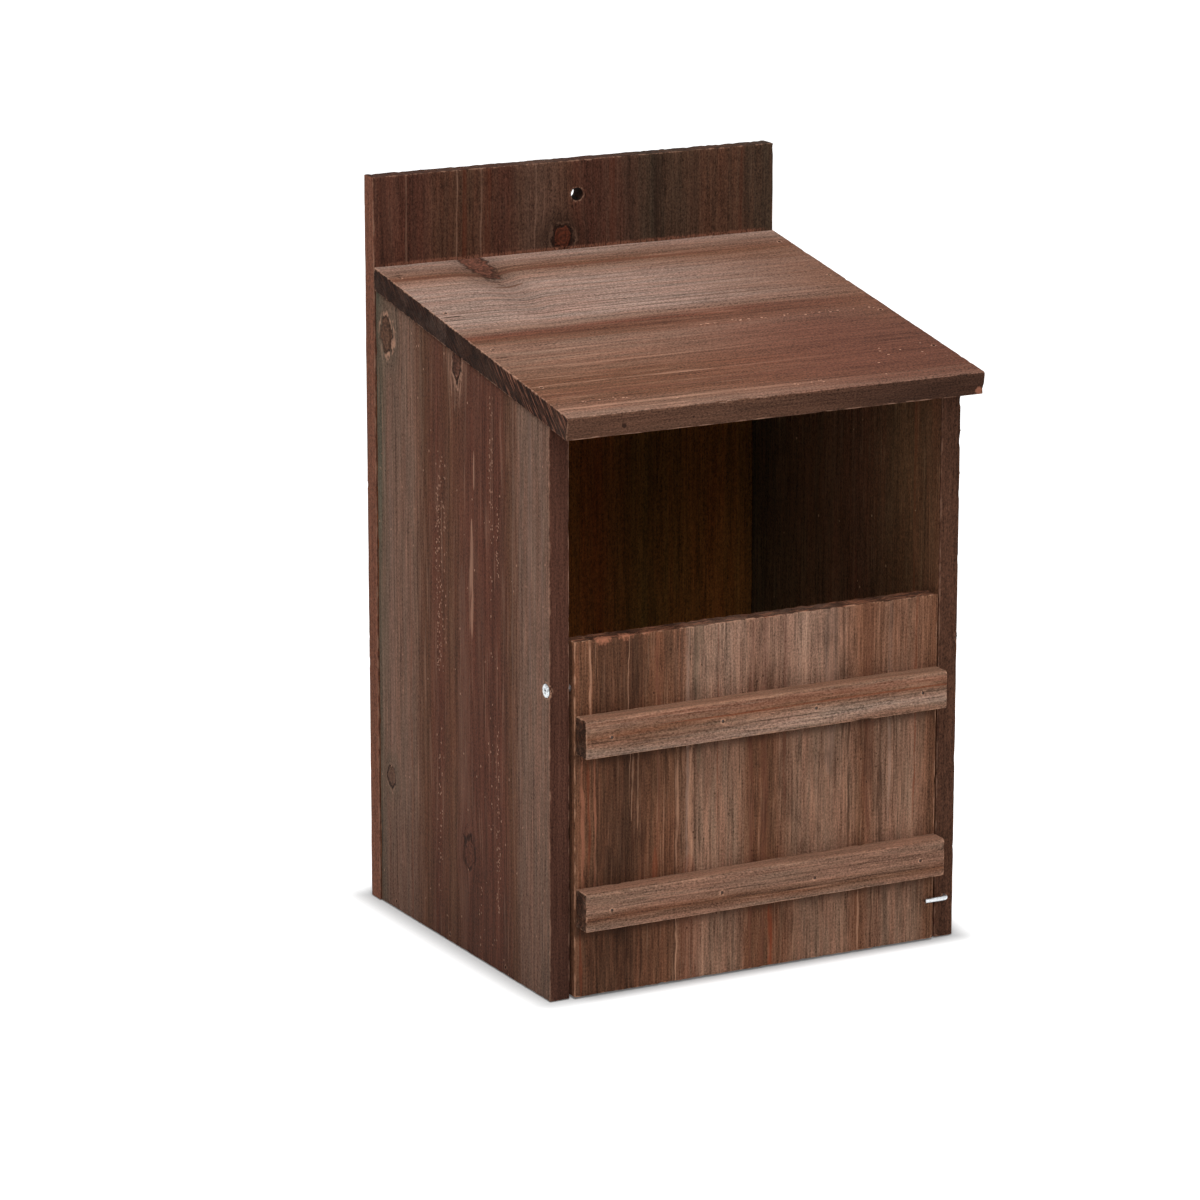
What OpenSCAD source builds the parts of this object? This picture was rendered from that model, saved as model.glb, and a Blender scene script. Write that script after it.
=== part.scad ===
// Open-fronted nest box of stained softwood boards.
// X runs to the right as seen from the front, Y runs to the back, Z runs up.
// The origin lies in the middle of the footprint, on the surface that the box stands on.
// Lengths are in millimetres and angles in degrees.

/* [Backboard] */
// Width of the backboard, which the roof shares
back_w = 220; // [180:1:260]
// Height of the backboard
back_h = 360; // [340:1:420]
// Thickness of the backboard
back_t = 10; // [8:0.5:14]
// Diameter of the hanging hole
hang_hole_d = 6.5; // [5:0.1:9]
// Distance from the top edge of the backboard down to the middle of the hanging hole
hang_hole_drop = 17; // [12:0.5:24]

/* [Sides] */
// Thickness of a side board
side_t = 10.5; // [9:0.5:14]
// Depth of a side board, from the backboard to its front edge
side_d = 180; // [150:1:220]
// Distance that a side board's outer face sits in from the backboard's edge
side_inset = 0.7; // [0.6:0.1:3]

/* [Roof] */
// Thickness of the roof board, square to its slope
roof_t = 11.3; // [9:0.1:15]
// Distance from the top edge of the backboard down to the roof's upper face
roof_drop = 43.5; // [40:0.5:60]
// Fall of the roof towards the front
roof_pitch = 10.2; // [5:0.1:15]
// Distance that the roof reaches past the front edges of the sides
roof_overhang = 20; // [10:1:30]
// Radius of the eased upper front edge of the roof
roof_ease = 1.6; // [0.5:0.1:4]

/* [Floor] */
// Thickness of the floor board
floor_t = 10; // [8:0.5:14]
// Height of the nails that hold the floor board
floor_nail_h = 4; // [3.5:0.1:6]

/* [Front panel] */
// Height of the front panel
panel_h = 171; // [165:1:190]
// Thickness of the front panel
panel_t = 10; // [8:0.5:14]
// Gap between the front panel and each side board
panel_gap = 1.5; // [0.6:0.1:3]
// Gap between the front panel and the surface that the box stands on
panel_foot = 0.6; // [0.3:0.1:2]
// Distance that the front panel stands out in front of the sides' edges
panel_proud = 1.6; // [0.5:0.1:3]
// Distance from the top edge of the front panel down to its pivot screws
pivot_drop = 22.9; // [18:0.1:26]

/* [Battens] */
// Height of a batten
batten_h = 18.5; // [14:0.5:22]
// Thickness of a batten
batten_t = 10.5; // [8:0.5:14]
// Distance that each end of a batten stays in from the panel's edge
batten_short = 0.6; // [0.3:0.1:5]
// Height of the lower batten above the panel's lower edge
low_batten_h = 34.4; // [34:0.1:45]
// Height of the upper batten above the panel's lower edge
high_batten_h = 117.2; // [100:0.1:122]
// Radius of a batten's eased upper front edge
batten_ease = 1.8; // [0.5:0.1:4]

/* [Pivot screws] */
// Diameter of a pivot screw's shank
screw_d = 3.5; // [3:0.1:4]
// Length of a pivot screw under the face of the side board
screw_l = 30; // [25:1:40]
// Diameter of a pivot screw's head
screw_head_d = 6.6; // [6:0.1:8]
// Depth of the cone under a pivot screw's head
screw_cone = 1.8; // [1.2:0.1:2.4]
// Rise of the domed top of a pivot screw's head
screw_rise = 0.6; // [0.4:0.05:0.6]
// Width across the cross recess in a pivot screw's head
recess_w = 3.6; // [3:0.1:4.5]
// Width of one arm of the cross recess
recess_arm = 0.9; // [0.6:0.1:1.2]
// Depth of the cross recess below the face of the side board
recess_depth = 1; // [0.5:0.1:1.2]

/* [Latch hook] */
// Diameter of the latch hook's wire
wire_d = 2.2; // [1.8:0.1:2.6]
// Height of the latch hook
hook_h = 20.4; // [18:0.1:20.6]
// Length of the latch hook's arm, from the middle of its shank
hook_arm = 12.2; // [10:0.1:12.4]
// Radius of the latch hook's bend, at the middle of the wire
hook_bend = 2.2; // [1.8:0.1:2.2]
// Length of the latch hook's shank inside the side board
hook_shank = 16; // [10:1:25]
// Length of the point of a hook or screw
point_l = 3; // [2:0.5:5]

/* [Nails] */
// Diameter of a nail's shank
nail_d = 1.6; // [1.2:0.1:2]
// Diameter of a nail's head
nail_head_d = 2.2; // [2.1:0.1:2.6]
// Thickness of a nail's head
nail_head_t = 0.8; // [0.5:0.1:1.2]
// Depth that a nail's head is sunk below the wood's face
nail_sink = 0.5; // [0.2:0.1:1]
// Length of the nails that join the boards of the box
box_nail_l = 30; // [25:1:40]
// Length of the nails that hold the battens
batten_nail_l = 17; // [15:0.5:18]
// Number of nails along each edge of the roof
roof_nails = 4; // [2:1:6]
// Number of nails from each side board into the floor board
floor_nails = 3; // [2:1:5]
// Number of nails from the backboard into each side board
back_nails = 3; // [2:1:5]
// Distance of the first nail of a row from the backboard, and of the last roof nail from the sides' fronts
nail_end = 17; // [14:0.5:22]
// Distance of the foremost floor nail from the front panel
floor_nail_front = 37; // [20:1:60]
// Distance of the nails through the backboard from the ends of their row
back_nail_end = 34; // [20:1:60]
// Distance of the nails at a batten's ends from those ends
batten_nail_end = 13.5; // [8:0.5:20]
// Distance between the two middle nails of a batten
batten_nail_mid = 50; // [30:1:70]

/* [Clearances] */
// Gap round a screw or hook that turns in its hole
turn_gap = 0.06; // [0.02:0.01:0.1]
// Gap between faces that move past each other
face_gap = 0.3; // [0.3:0.05:0.5]
// Gap round a nail in its hole
nail_gap = 0.02; // [0.01:0.01:0.05]
// Gap between the floor board and each side board
floor_gap = 0.1; // [0:0.05:0.3]
// Gap past the end of a nail, screw or hook in its hole
end_gap = 0.3; // [0.1:0.1:1]

/* [Hidden] */
$fn = 48;
wood_dark = [0.25, 0.16, 0.13];
wood_side = [0.28, 0.18, 0.15];
wood_roof = [0.36, 0.25, 0.22];
wood_panel = [0.42, 0.29, 0.23];
wood_batten = [0.47, 0.34, 0.28];
wood_floor = [0.23, 0.15, 0.12];
zinc = [0.78, 0.80, 0.82];
nail_steel = [0.20, 0.18, 0.17];

// Length that a cut runs on past a face
over = 1;
// Share of a shank's diameter that is left at the tip of its point
tip_share = 0.25;

// Faces along the depth
total_d = back_t + side_d + roof_overhang;
rear_y = total_d / 2;
wall_y = rear_y - back_t;
front_y = wall_y - side_d;
eave_y = front_y - roof_overhang;
panel_y = front_y - panel_proud;
panel_rear_y = panel_y + panel_t;
batten_y = panel_y - batten_t;

// Faces along the width
side_x = back_w / 2 - side_inset;
inner_x = side_x - side_t;
mid_side_x = side_x - side_t / 2;
panel_x = inner_x - panel_gap;
batten_x = panel_x - batten_short;
floor_x = inner_x - floor_gap;

// Height of the roof's upper face at the backboard
roof_top = back_h - roof_drop;

// Slope of the roof, and its extra length that the eased edge takes off again
roof_plumb = roof_t / cos(roof_pitch);
ease_loss = roof_ease * (cos(roof_pitch) + sin(roof_pitch) - 1);
roof_l = (wall_y - eave_y + ease_loss) / cos(roof_pitch);

// Pivot of the front panel, through the middle of its thickness
pivot_y = panel_y + panel_t / 2;
pivot_z = panel_foot + panel_h - pivot_drop;

// Wire of the latch hook, whose arm lies just in front of the panel
wire_r = wire_d / 2;
hook_arm_y = panel_y - face_gap - wire_r;
hook_neck = front_y - hook_arm_y - hook_bend;

// Height of the underside of the roof at a depth
function soffit_z(y) = roof_top - roof_plumb - (wall_y - y) * tan(roof_pitch);

// Place number i of a row of count places from first to last
function place(i, count, first, last) = first + (last - first) * i / (count - 1);

// Rectangle from the origin with its far upper corner rounded
module eased_rect(length, height, radius) {
    square([length - radius, height]);
    square([length, height - radius]);
    translate([length - radius, height - radius]) circle(r = radius);
}

// Outline in the depth and height plane, given its thickness to the right of x
module board_across(x, thickness) {
    translate([x, 0, 0])
        rotate([90, 0, 90])
            linear_extrude(thickness) children();
}

// Copy on the left of what is drawn on the right
module on_left() {
    mirror([1, 0, 0]) children();
}

// Frame on the roof's upper face, at a distance down its slope from the backboard
module on_roof(x, down) {
    translate([x, wall_y, roof_top])
        rotate([roof_pitch, 0, 0])
            translate([0, -down, 0]) children();
}

// Frames whose Z leaves the right, the rear or the front of the box
module on_right_face(y, z) {
    translate([side_x, y, z]) rotate([0, 90, 0]) children();
}
module on_rear_face(x, z) {
    translate([x, rear_y, z]) rotate([-90, 0, 0]) children();
}
module on_front_face(x, y, z) {
    translate([x, y, z]) rotate([90, 0, 0]) children();
}

// Nail driven down from the face at Z zero
module nail(length) {
    translate([0, 0, -nail_sink - nail_head_t]) cylinder(d = nail_head_d, h = nail_head_t);
    translate([0, 0, -nail_sink - length]) cylinder(d = nail_d, h = length);
}

// Hole that a nail fills, open at the face
module nail_hole(length) {
    head_r = nail_head_d / 2 + nail_gap;
    depth = nail_sink + length + end_gap;
    translate([0, 0, -nail_sink - nail_head_t]) cylinder(r = head_r, h = nail_sink + nail_head_t + over);
    translate([0, 0, -depth]) cylinder(r = nail_d / 2 + nail_gap, h = depth);
}

// Places of the nails along the right edge of the roof
module at_roof_nails() {
    first = nail_end;
    last = (side_d - nail_end) / cos(roof_pitch);
    for (i = [0 : roof_nails - 1])
        on_roof(mid_side_x, place(i, roof_nails, first, last)) children();
}

// Places of the nails from the right side into the floor
module at_floor_nails() {
    rearmost = wall_y - nail_end;
    foremost = panel_rear_y + floor_nail_front;
    for (i = [0 : floor_nails - 1])
        on_right_face(place(i, floor_nails, rearmost, foremost), floor_nail_h) children();
}

// Places of the nails from the backboard into the right side
module at_back_nails() {
    for (i = [0 : back_nails - 1])
        on_rear_face(mid_side_x, place(i, back_nails, back_nail_end, soffit_z(wall_y) - back_nail_end))
            children();
}

// Places of the nails from the backboard into the floor
module at_sill_nails() {
    for (i = [0 : floor_nails - 1])
        on_rear_face(place(i, floor_nails, -inner_x + back_nail_end, inner_x - back_nail_end), floor_t / 2)
            children();
}

// Places of the nails through a batten, at a height above the panel's lower edge
module at_batten_nails(height) {
    end_x = batten_x - batten_nail_end;
    for (x = [-end_x, -batten_nail_mid / 2, batten_nail_mid / 2, end_x])
        on_front_face(x, batten_y, panel_foot + height + batten_h / 2) children();
}

// Screw whose head sits in the face at Z zero
module screw() {
    head_r = screw_head_d / 2;
    dome_r = (head_r * head_r + screw_rise * screw_rise) / (2 * screw_rise);
    difference() {
        union() {
            intersection() {
                translate([0, 0, screw_rise - dome_r]) sphere(r = dome_r);
                cylinder(r = head_r, h = screw_rise);
            }
            translate([0, 0, -screw_cone]) cylinder(d1 = screw_d, d2 = screw_head_d, h = screw_cone);
            translate([0, 0, point_l - screw_l]) cylinder(d = screw_d, h = screw_l - point_l - screw_cone);
            translate([0, 0, -screw_l]) cylinder(d1 = screw_d * tip_share, d2 = screw_d, h = point_l);
        }
        for (turn = [0, 90])
            rotate([0, 0, turn])
                translate([-recess_w / 2, -recess_arm / 2, -recess_depth])
                    cube([recess_w, recess_arm, recess_depth + screw_rise + over]);
    }
}

// Bore and countersink in which a pivot screw turns
module screw_bore() {
    translate([0, 0, -side_t - over]) cylinder(r = screw_d / 2 + turn_gap, h = side_t + 2 * over);
    translate([0, 0, -screw_cone])
        cylinder(r1 = screw_d / 2 + face_gap, r2 = screw_head_d / 2 + face_gap, h = screw_cone);
    cylinder(r = screw_head_d / 2 + face_gap, h = over);
}

// Hole in the edge of the front panel that holds a pivot screw
module screw_hole() {
    translate([0, 0, -screw_l - end_gap]) cylinder(r = screw_d / 2 + nail_gap, h = screw_l);
}

// Side board on the right, with a square front edge and its top cut to the roof's slope
module side_board() {
    difference() {
        board_across(inner_x, side_t)
            polygon([[wall_y, 0], [front_y, 0], [front_y, soffit_z(front_y)], [wall_y, soffit_z(wall_y)]]);
        on_right_face(pivot_y, pivot_z) screw_bore();
        at_roof_nails() nail_hole(box_nail_l);
        at_floor_nails() nail_hole(box_nail_l);
        at_back_nails() nail_hole(box_nail_l);
    }
}

module backboard() {
    color(wood_dark)
        difference() {
            translate([-back_w / 2, wall_y, 0]) cube([back_w, back_t, back_h]);
            on_rear_face(0, back_h - hang_hole_drop)
                translate([0, 0, -back_t - over]) cylinder(d = hang_hole_d, h = back_t + 2 * over);
            at_back_nails() nail_hole(box_nail_l);
            on_left() at_back_nails() nail_hole(box_nail_l);
            at_sill_nails() nail_hole(box_nail_l);
        }
}

module left_side() {
    color(wood_side) on_left() side_board();
}

module right_side() {
    hole_l = hook_shank + end_gap;
    color(wood_side)
        difference() {
            side_board();
            on_front_face(mid_side_x, front_y, hook_h)
                translate([0, 0, -hole_l]) cylinder(r = wire_r + turn_gap, h = hole_l + over);
        }
}

module floor_board() {
    floor_front_y = panel_rear_y + face_gap;
    color(wood_floor)
        difference() {
            translate([-floor_x, floor_front_y, 0]) cube([2 * floor_x, wall_y - floor_front_y, floor_t]);
            at_floor_nails() nail_hole(box_nail_l);
            on_left() at_floor_nails() nail_hole(box_nail_l);
            at_sill_nails() nail_hole(box_nail_l);
        }
}

module roof() {
    color(wood_roof)
        difference() {
            board_across(-back_w / 2, back_w)
                intersection() {
                    translate([eave_y - roof_t, 0]) square([wall_y - eave_y + roof_t, back_h]);
                    translate([wall_y, roof_top])
                        rotate(roof_pitch)
                            mirror([1, 0])
                                translate([-roof_t, -roof_t])
                                    eased_rect(roof_l + roof_t, roof_t, roof_ease);
                }
            at_roof_nails() nail_hole(box_nail_l);
            on_left() at_roof_nails() nail_hole(box_nail_l);
        }
}

module front_panel() {
    color(wood_panel)
        difference() {
            translate([-panel_x, panel_y, panel_foot]) cube([2 * panel_x, panel_t, panel_h]);
            on_right_face(pivot_y, pivot_z) screw_hole();
            on_left() on_right_face(pivot_y, pivot_z) screw_hole();
            at_batten_nails(high_batten_h) nail_hole(batten_nail_l);
            at_batten_nails(low_batten_h) nail_hole(batten_nail_l);
        }
}

// Batten across the panel, at a height above its lower edge
module batten(height) {
    difference() {
        board_across(-batten_x, 2 * batten_x)
            translate([panel_y, panel_foot + height])
                mirror([1, 0]) eased_rect(batten_t, batten_h, batten_ease);
        at_batten_nails(height) nail_hole(batten_nail_l);
    }
}

module upper_batten() {
    color(wood_batten) batten(high_batten_h);
}

module lower_batten() {
    color(wood_batten) batten(low_batten_h);
}

module right_pivot_screw() {
    color(zinc) on_right_face(pivot_y, pivot_z) screw();
}

module left_pivot_screw() {
    color(zinc) on_left() on_right_face(pivot_y, pivot_z) screw();
}

// Square bend hook: a shank in the side's front edge and an arm across the panel's edge
module latch_hook() {
    color(zinc)
        translate([mid_side_x, front_y, hook_h]) {
            rotate([-90, 0, 0]) {
                translate([0, 0, -hook_neck]) cylinder(d = wire_d, h = hook_neck + hook_shank - point_l);
                translate([0, 0, hook_shank - point_l])
                    cylinder(d1 = wire_d, d2 = wire_d * tip_share, h = point_l);
            }
            translate([-hook_bend, -hook_neck, 0])
                rotate([0, 0, -90])
                    rotate_extrude(angle = 90) translate([hook_bend, 0]) circle(d = wire_d);
            translate([-hook_bend, -hook_neck - hook_bend, 0])
                rotate([0, -90, 0]) cylinder(d = wire_d, h = hook_arm - hook_bend);
        }
}

module roof_nails_right() {
    color(nail_steel) at_roof_nails() nail(box_nail_l);
}

module roof_nails_left() {
    color(nail_steel) on_left() at_roof_nails() nail(box_nail_l);
}

module floor_nails_right() {
    color(nail_steel) at_floor_nails() nail(box_nail_l);
}

module floor_nails_left() {
    color(nail_steel) on_left() at_floor_nails() nail(box_nail_l);
}

module back_nails_right() {
    color(nail_steel) at_back_nails() nail(box_nail_l);
}

module back_nails_left() {
    color(nail_steel) on_left() at_back_nails() nail(box_nail_l);
}

module back_nails_floor() {
    color(nail_steel) at_sill_nails() nail(box_nail_l);
}

module upper_batten_nails() {
    color(nail_steel) at_batten_nails(high_batten_h) nail(batten_nail_l);
}

module lower_batten_nails() {
    color(nail_steel) at_batten_nails(low_batten_h) nail(batten_nail_l);
}

backboard();
left_side();
right_side();
floor_board();
roof();
front_panel();
upper_batten();
lower_batten();
left_pivot_screw();
right_pivot_screw();
latch_hook();
roof_nails_left();
roof_nails_right();
floor_nails_left();
floor_nails_right();
back_nails_left();
back_nails_right();
back_nails_floor();
upper_batten_nails();
lower_batten_nails();
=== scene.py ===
"""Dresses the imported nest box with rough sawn, dark stained boards, zinc fixings and a plain studio."""

import math
import random
from functools import partial
from itertools import combinations, product

import bmesh
import bpy
from bpy.props import FloatProperty, FloatVectorProperty, PointerProperty
from mathutils import Matrix, Vector, noise
from mathutils.geometry import intersect_point_line


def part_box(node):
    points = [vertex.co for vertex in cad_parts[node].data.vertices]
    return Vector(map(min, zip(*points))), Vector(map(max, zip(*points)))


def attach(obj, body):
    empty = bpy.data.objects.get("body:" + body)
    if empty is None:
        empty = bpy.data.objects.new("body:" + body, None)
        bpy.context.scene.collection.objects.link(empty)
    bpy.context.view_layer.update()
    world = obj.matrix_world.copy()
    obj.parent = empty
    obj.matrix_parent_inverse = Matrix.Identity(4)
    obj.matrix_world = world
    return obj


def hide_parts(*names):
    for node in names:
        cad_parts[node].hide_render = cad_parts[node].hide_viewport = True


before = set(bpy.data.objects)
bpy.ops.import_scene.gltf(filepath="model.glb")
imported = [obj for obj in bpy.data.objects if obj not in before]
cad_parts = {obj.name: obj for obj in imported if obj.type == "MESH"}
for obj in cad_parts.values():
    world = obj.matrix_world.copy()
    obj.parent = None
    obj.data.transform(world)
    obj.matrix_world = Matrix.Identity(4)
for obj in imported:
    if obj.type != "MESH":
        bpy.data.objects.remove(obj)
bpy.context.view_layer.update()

bl_info = {
    "name": "Open-fronted nest box",
    "version": (1, 0, 0),
    "blender": (4, 5, 0),
    "location": "View3D > Sidebar > Nest box",
    "description": "Rough sawn boards, nails, pivot screws, latch hook and studio for an open-fronted nest box",
    "category": "Object",
}

MM = 0.001
RIGHT, BACK, UP = Vector((1, 0, 0)), Vector((0, 1, 0)), Vector((0, 0, 1))
LEFT, FRONT, DOWN = -RIGHT, -BACK, -UP
SIDES = {"left": LEFT, "right": RIGHT}
ROOF_PITCH = math.radians(10.2)
UP_SLOPE = Vector((0, math.cos(ROOF_PITCH), math.sin(ROOF_PITCH)))
ROOF_UP = RIGHT.cross(UP_SLOPE)


# Sizes and colours


def length(name, description, default):
    """A length, its default in millimetres."""
    return FloatProperty(
        name=name, description=description, default=default * MM, min=0, precision=5, unit="LENGTH", subtype="DISTANCE"
    )


def angle(name, description, degrees):
    return FloatProperty(name=name, description=description, default=math.radians(degrees), subtype="ANGLE")


def colour(name, description, default):
    """A colour, its default as a screen shows it, from 0 to 255."""
    linear = [c / 255 / 12.92 if c < 11 else ((c / 255 + 0.055) / 1.055) ** 2.4 for c in default]
    return FloatVectorProperty(name=name, description=description, default=linear, size=3, min=0, max=1,
                               subtype="COLOR")


class BoardSizes(bpy.types.PropertyGroup):
    step: length("Mesh step", "Size of the quads on a board's broad faces", 2.0)
    arris: length("Arris", "Radius of a sawn edge", 0.5)
    roof_ease: length("Roof ease", "Radius of the roof's planed front edge", 1.6)
    batten_ease: length("Batten ease", "Radius of each batten's planed upper edge", 1.8)
    face_relief: length("Face relief", "Depth of the hollows that the saw left in a face", 0.12)
    wear: length("Wear", "Depth to which the edges are rubbed", 0.12)
    chip: length("Chip", "Depth of the deepest chips in the edges", 0.4)
    torn: length("Torn end", "Depth of the tears along the front panel's upper end", 0.75)
    roof_thickness: length("Roof thickness", "Thickness of the roof board", 11.3)
    hanging_hole: length("Hanging hole", "Diameter of the hole in the backboard", 6.5)
    hanging_drop: length("Hanging hole drop", "Distance from the backboard's top to the hole's middle", 17)


class FixingSizes(bpy.types.PropertyGroup):
    nail_sink: length("Nail sink", "Depth of a nail's head below the wood", 0.5)
    nail_head: length("Nail head", "Diameter of a nail's head", 2.2)
    nail_head_height: length("Nail head height", "Thickness of a nail's head", 0.8)
    nail_shank: length("Nail shank", "Diameter of a nail's shank", 1.6)
    screw_shank: length("Screw shank", "Diameter of a pivot screw", 3.5)
    screw_cone: length("Screw cone", "Height of the cone under a pivot screw's head", 1.8)
    screw_rise: length("Screw rise", "Height of a pivot screw's domed head above the side", 0.6)
    screw_point: length("Screw point", "Length of a pivot screw's point", 3)
    recess: length("Recess", "Width of the cross recess in a pivot screw", 3.6)
    recess_arm: length("Recess arm", "Width of one arm of the cross recess", 0.9)
    recess_depth: length("Recess depth", "Depth of the cross recess", 1)
    wire: length("Wire", "Diameter of the latch hook's wire", 2.2)
    bend: length("Bend", "Radius of the latch hook's bend", 2.2)
    running_gap: length("Running gap", "Room round a screw or a hook that turns in its hole", 0.06)
    face_gap: length("Face gap", "Room round a pivot screw's head", 0.3)


class WoodColours(bpy.types.PropertyGroup):
    fawn: colour("Fawn", "Stain where it has weathered to grey-brown", (131, 100, 85))
    umber: colour("Umber", "Stain in its usual brown", (108, 73, 56))
    russet: colour("Russet", "Stain over reddish heartwood", (104, 65, 52))
    olive: colour("Olive", "Stain with a dull cast", (87, 68, 54))
    ash: colour("Ash", "Stain bleached by the weather", (149, 122, 110))
    moss: colour("Moss", "Green-grey stain beside a knot or a joint", (104, 93, 78))
    clay: colour("Clay", "Bare reddish wood on a sawn edge", (162, 106, 84))
    char: colour("Char", "Dark lines, cracks and pits", (44, 29, 23))
    straw: colour("Straw", "Bare pale fibres and rubbed edges", (202, 154, 128))
    ember: colour("Ember", "Reddish core of a knot", (122, 60, 40))


class MetalColours(bpy.types.PropertyGroup):
    zinc: colour("Zinc", "Bright zinc plate", (214, 218, 221))
    dulled_zinc: colour("Dulled zinc", "Zinc plate where it has dulled", (150, 154, 158))
    steel: colour("Steel", "Dull nail steel", (84, 76, 72))
    rust: colour("Rust", "Rust on the nails", (88, 46, 30))


class StageSettings(bpy.types.PropertyGroup):
    azimuth: angle("Azimuth", "Camera's turn to the left of the front", 28.0)
    elevation: angle("Elevation", "Camera's angle above the horizon", 14.1)
    distance: length("Distance", "Distance from the camera to what it looks at", 2488)
    target: FloatVectorProperty(name="Target", description="Point that the camera looks at",
                                default=(-0.0379, 0, 0.165), subtype="XYZ")
    lens: FloatProperty(name="Lens", description="Focal length in millimetres on a 36 mm sensor", default=156.9)
    daylight: FloatProperty(name="Daylight", description="Strength of the light from all round", default=0.34)
    top_lamp: FloatProperty(name="Top lamp", description="Power of the lamp above the roof", default=30, unit="POWER")
    front_lamp: FloatProperty(name="Front lamp", description="Power of the lamp before the front", default=12,
                              unit="POWER")
    # The reach of the floor's painted shadow round the box's foot
    shadow: length("Shadow", "Reach of the shadow that the floor shows round the box", 24)
    floor_size: length("Floor size", "Half the width of the floor", 9000)


# Shader building


def connect(value, socket):
    if isinstance(value, bpy.types.NodeSocket):
        socket.id_data.links.new(value, socket)
    elif value is not None:
        socket.default_value = value


def shader(tree, kind, *values, **fields):
    """Adds a node. The values go to its inputs in order: None leaves one as it is, and a socket is linked."""
    made = tree.nodes.new("ShaderNode" + kind)
    for field, value in fields.items():
        setattr(made, field, value)
    for socket, value in zip(made.inputs, values):
        connect(value, socket)
    return made


def tree_of(values):
    """The node tree in which the first socket among the values stands."""
    return next(value for value in values if isinstance(value, bpy.types.NodeSocket)).id_data


def maths(operation, *values):
    return shader(tree_of(values), "Math", *values, operation=operation).outputs[0]


plus = partial(maths, "ADD")
minus = partial(maths, "SUBTRACT")
times = partial(maths, "MULTIPLY")
times_plus = partial(maths, "MULTIPLY_ADD")
over = partial(maths, "DIVIDE")


def vectors(operation, *values):
    return shader(tree_of(values), "VectorMath", *values, operation=operation).outputs["Vector"]


def scaled(vector, factor):
    return vectors("SCALE", vector, None, None, factor)


def length_of(vector):
    return shader(vector.id_data, "VectorMath", vector, operation="LENGTH").outputs["Value"]


def parts_of(vector):
    return shader(vector.id_data, "SeparateXYZ", vector).outputs


def distance(a, b):
    return maths("ABSOLUTE", minus(a, b))


def ease(value, start, end, low=0.0, high=1.0):
    """Smooth step from low to high as the value goes from start to end."""
    return shader(value.id_data, "MapRange", value, start, end, low, high, interpolation_type="SMOOTHSTEP").outputs[0]


def part_way(value, start, end):
    """How far the value has come from start to end, from 0 to 1."""
    return shader(value.id_data, "MapRange", value, start, end).outputs[0]


def tint(amount, under, over_it, mode="MIX"):
    """Lays one colour over another."""
    made = shader(tree_of((amount, under, over_it)), "Mix", data_type="RGBA", blend_type=mode)
    for place, value in ((0, amount), (6, under), (7, over_it)):
        connect(value, made.inputs[place])
    return made.outputs[2]


def even_noise(vector, scale, detail, roughness):
    return shader(vector.id_data, "TexNoise", vector, None, scale, detail, roughness).outputs[0]


def drawn_noise(vector, across, along, detail=2.0, roughness=0.5):
    """Noise drawn out along the grain. across and along are the sizes of its spots."""
    return even_noise(vectors("MULTIPLY", vector, (1 / across, 1 / across, 1 / along)), 1.0, detail, roughness)


def sway_of(*noise_values):
    """Drawn noise about nought."""
    return minus(drawn_noise(*noise_values), 0.5)


def new_group(name, inputs, outputs):
    """An empty shader group and its inner sockets. Both dictionaries list the labels of each kind of socket."""
    tree = bpy.data.node_groups.new(name, "ShaderNodeTree")
    for way, kinds in (("INPUT", inputs), ("OUTPUT", outputs)):
        for kind, labels in kinds.items():
            for label in labels:
                tree.interface.new_socket(name=label, in_out=way, socket_type="NodeSocket" + kind)
    return tree.nodes.new("NodeGroupInput").outputs, tree.nodes.new("NodeGroupOutput").inputs


def use_group(name, **values):
    """Places a shader group, its inputs filled by name."""
    made = tree_of(values.values()).nodes.new("ShaderNodeGroup")
    made.node_tree = bpy.data.node_groups[name]
    fill(made.inputs, **values)
    return made.outputs


def fill(sockets, **values):
    for label, value in values.items():
        connect(value, sockets[label.replace("_", " ").capitalize()])


# Shader groups. In each, X runs across the grain and Z along it, in millimetres.


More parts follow.
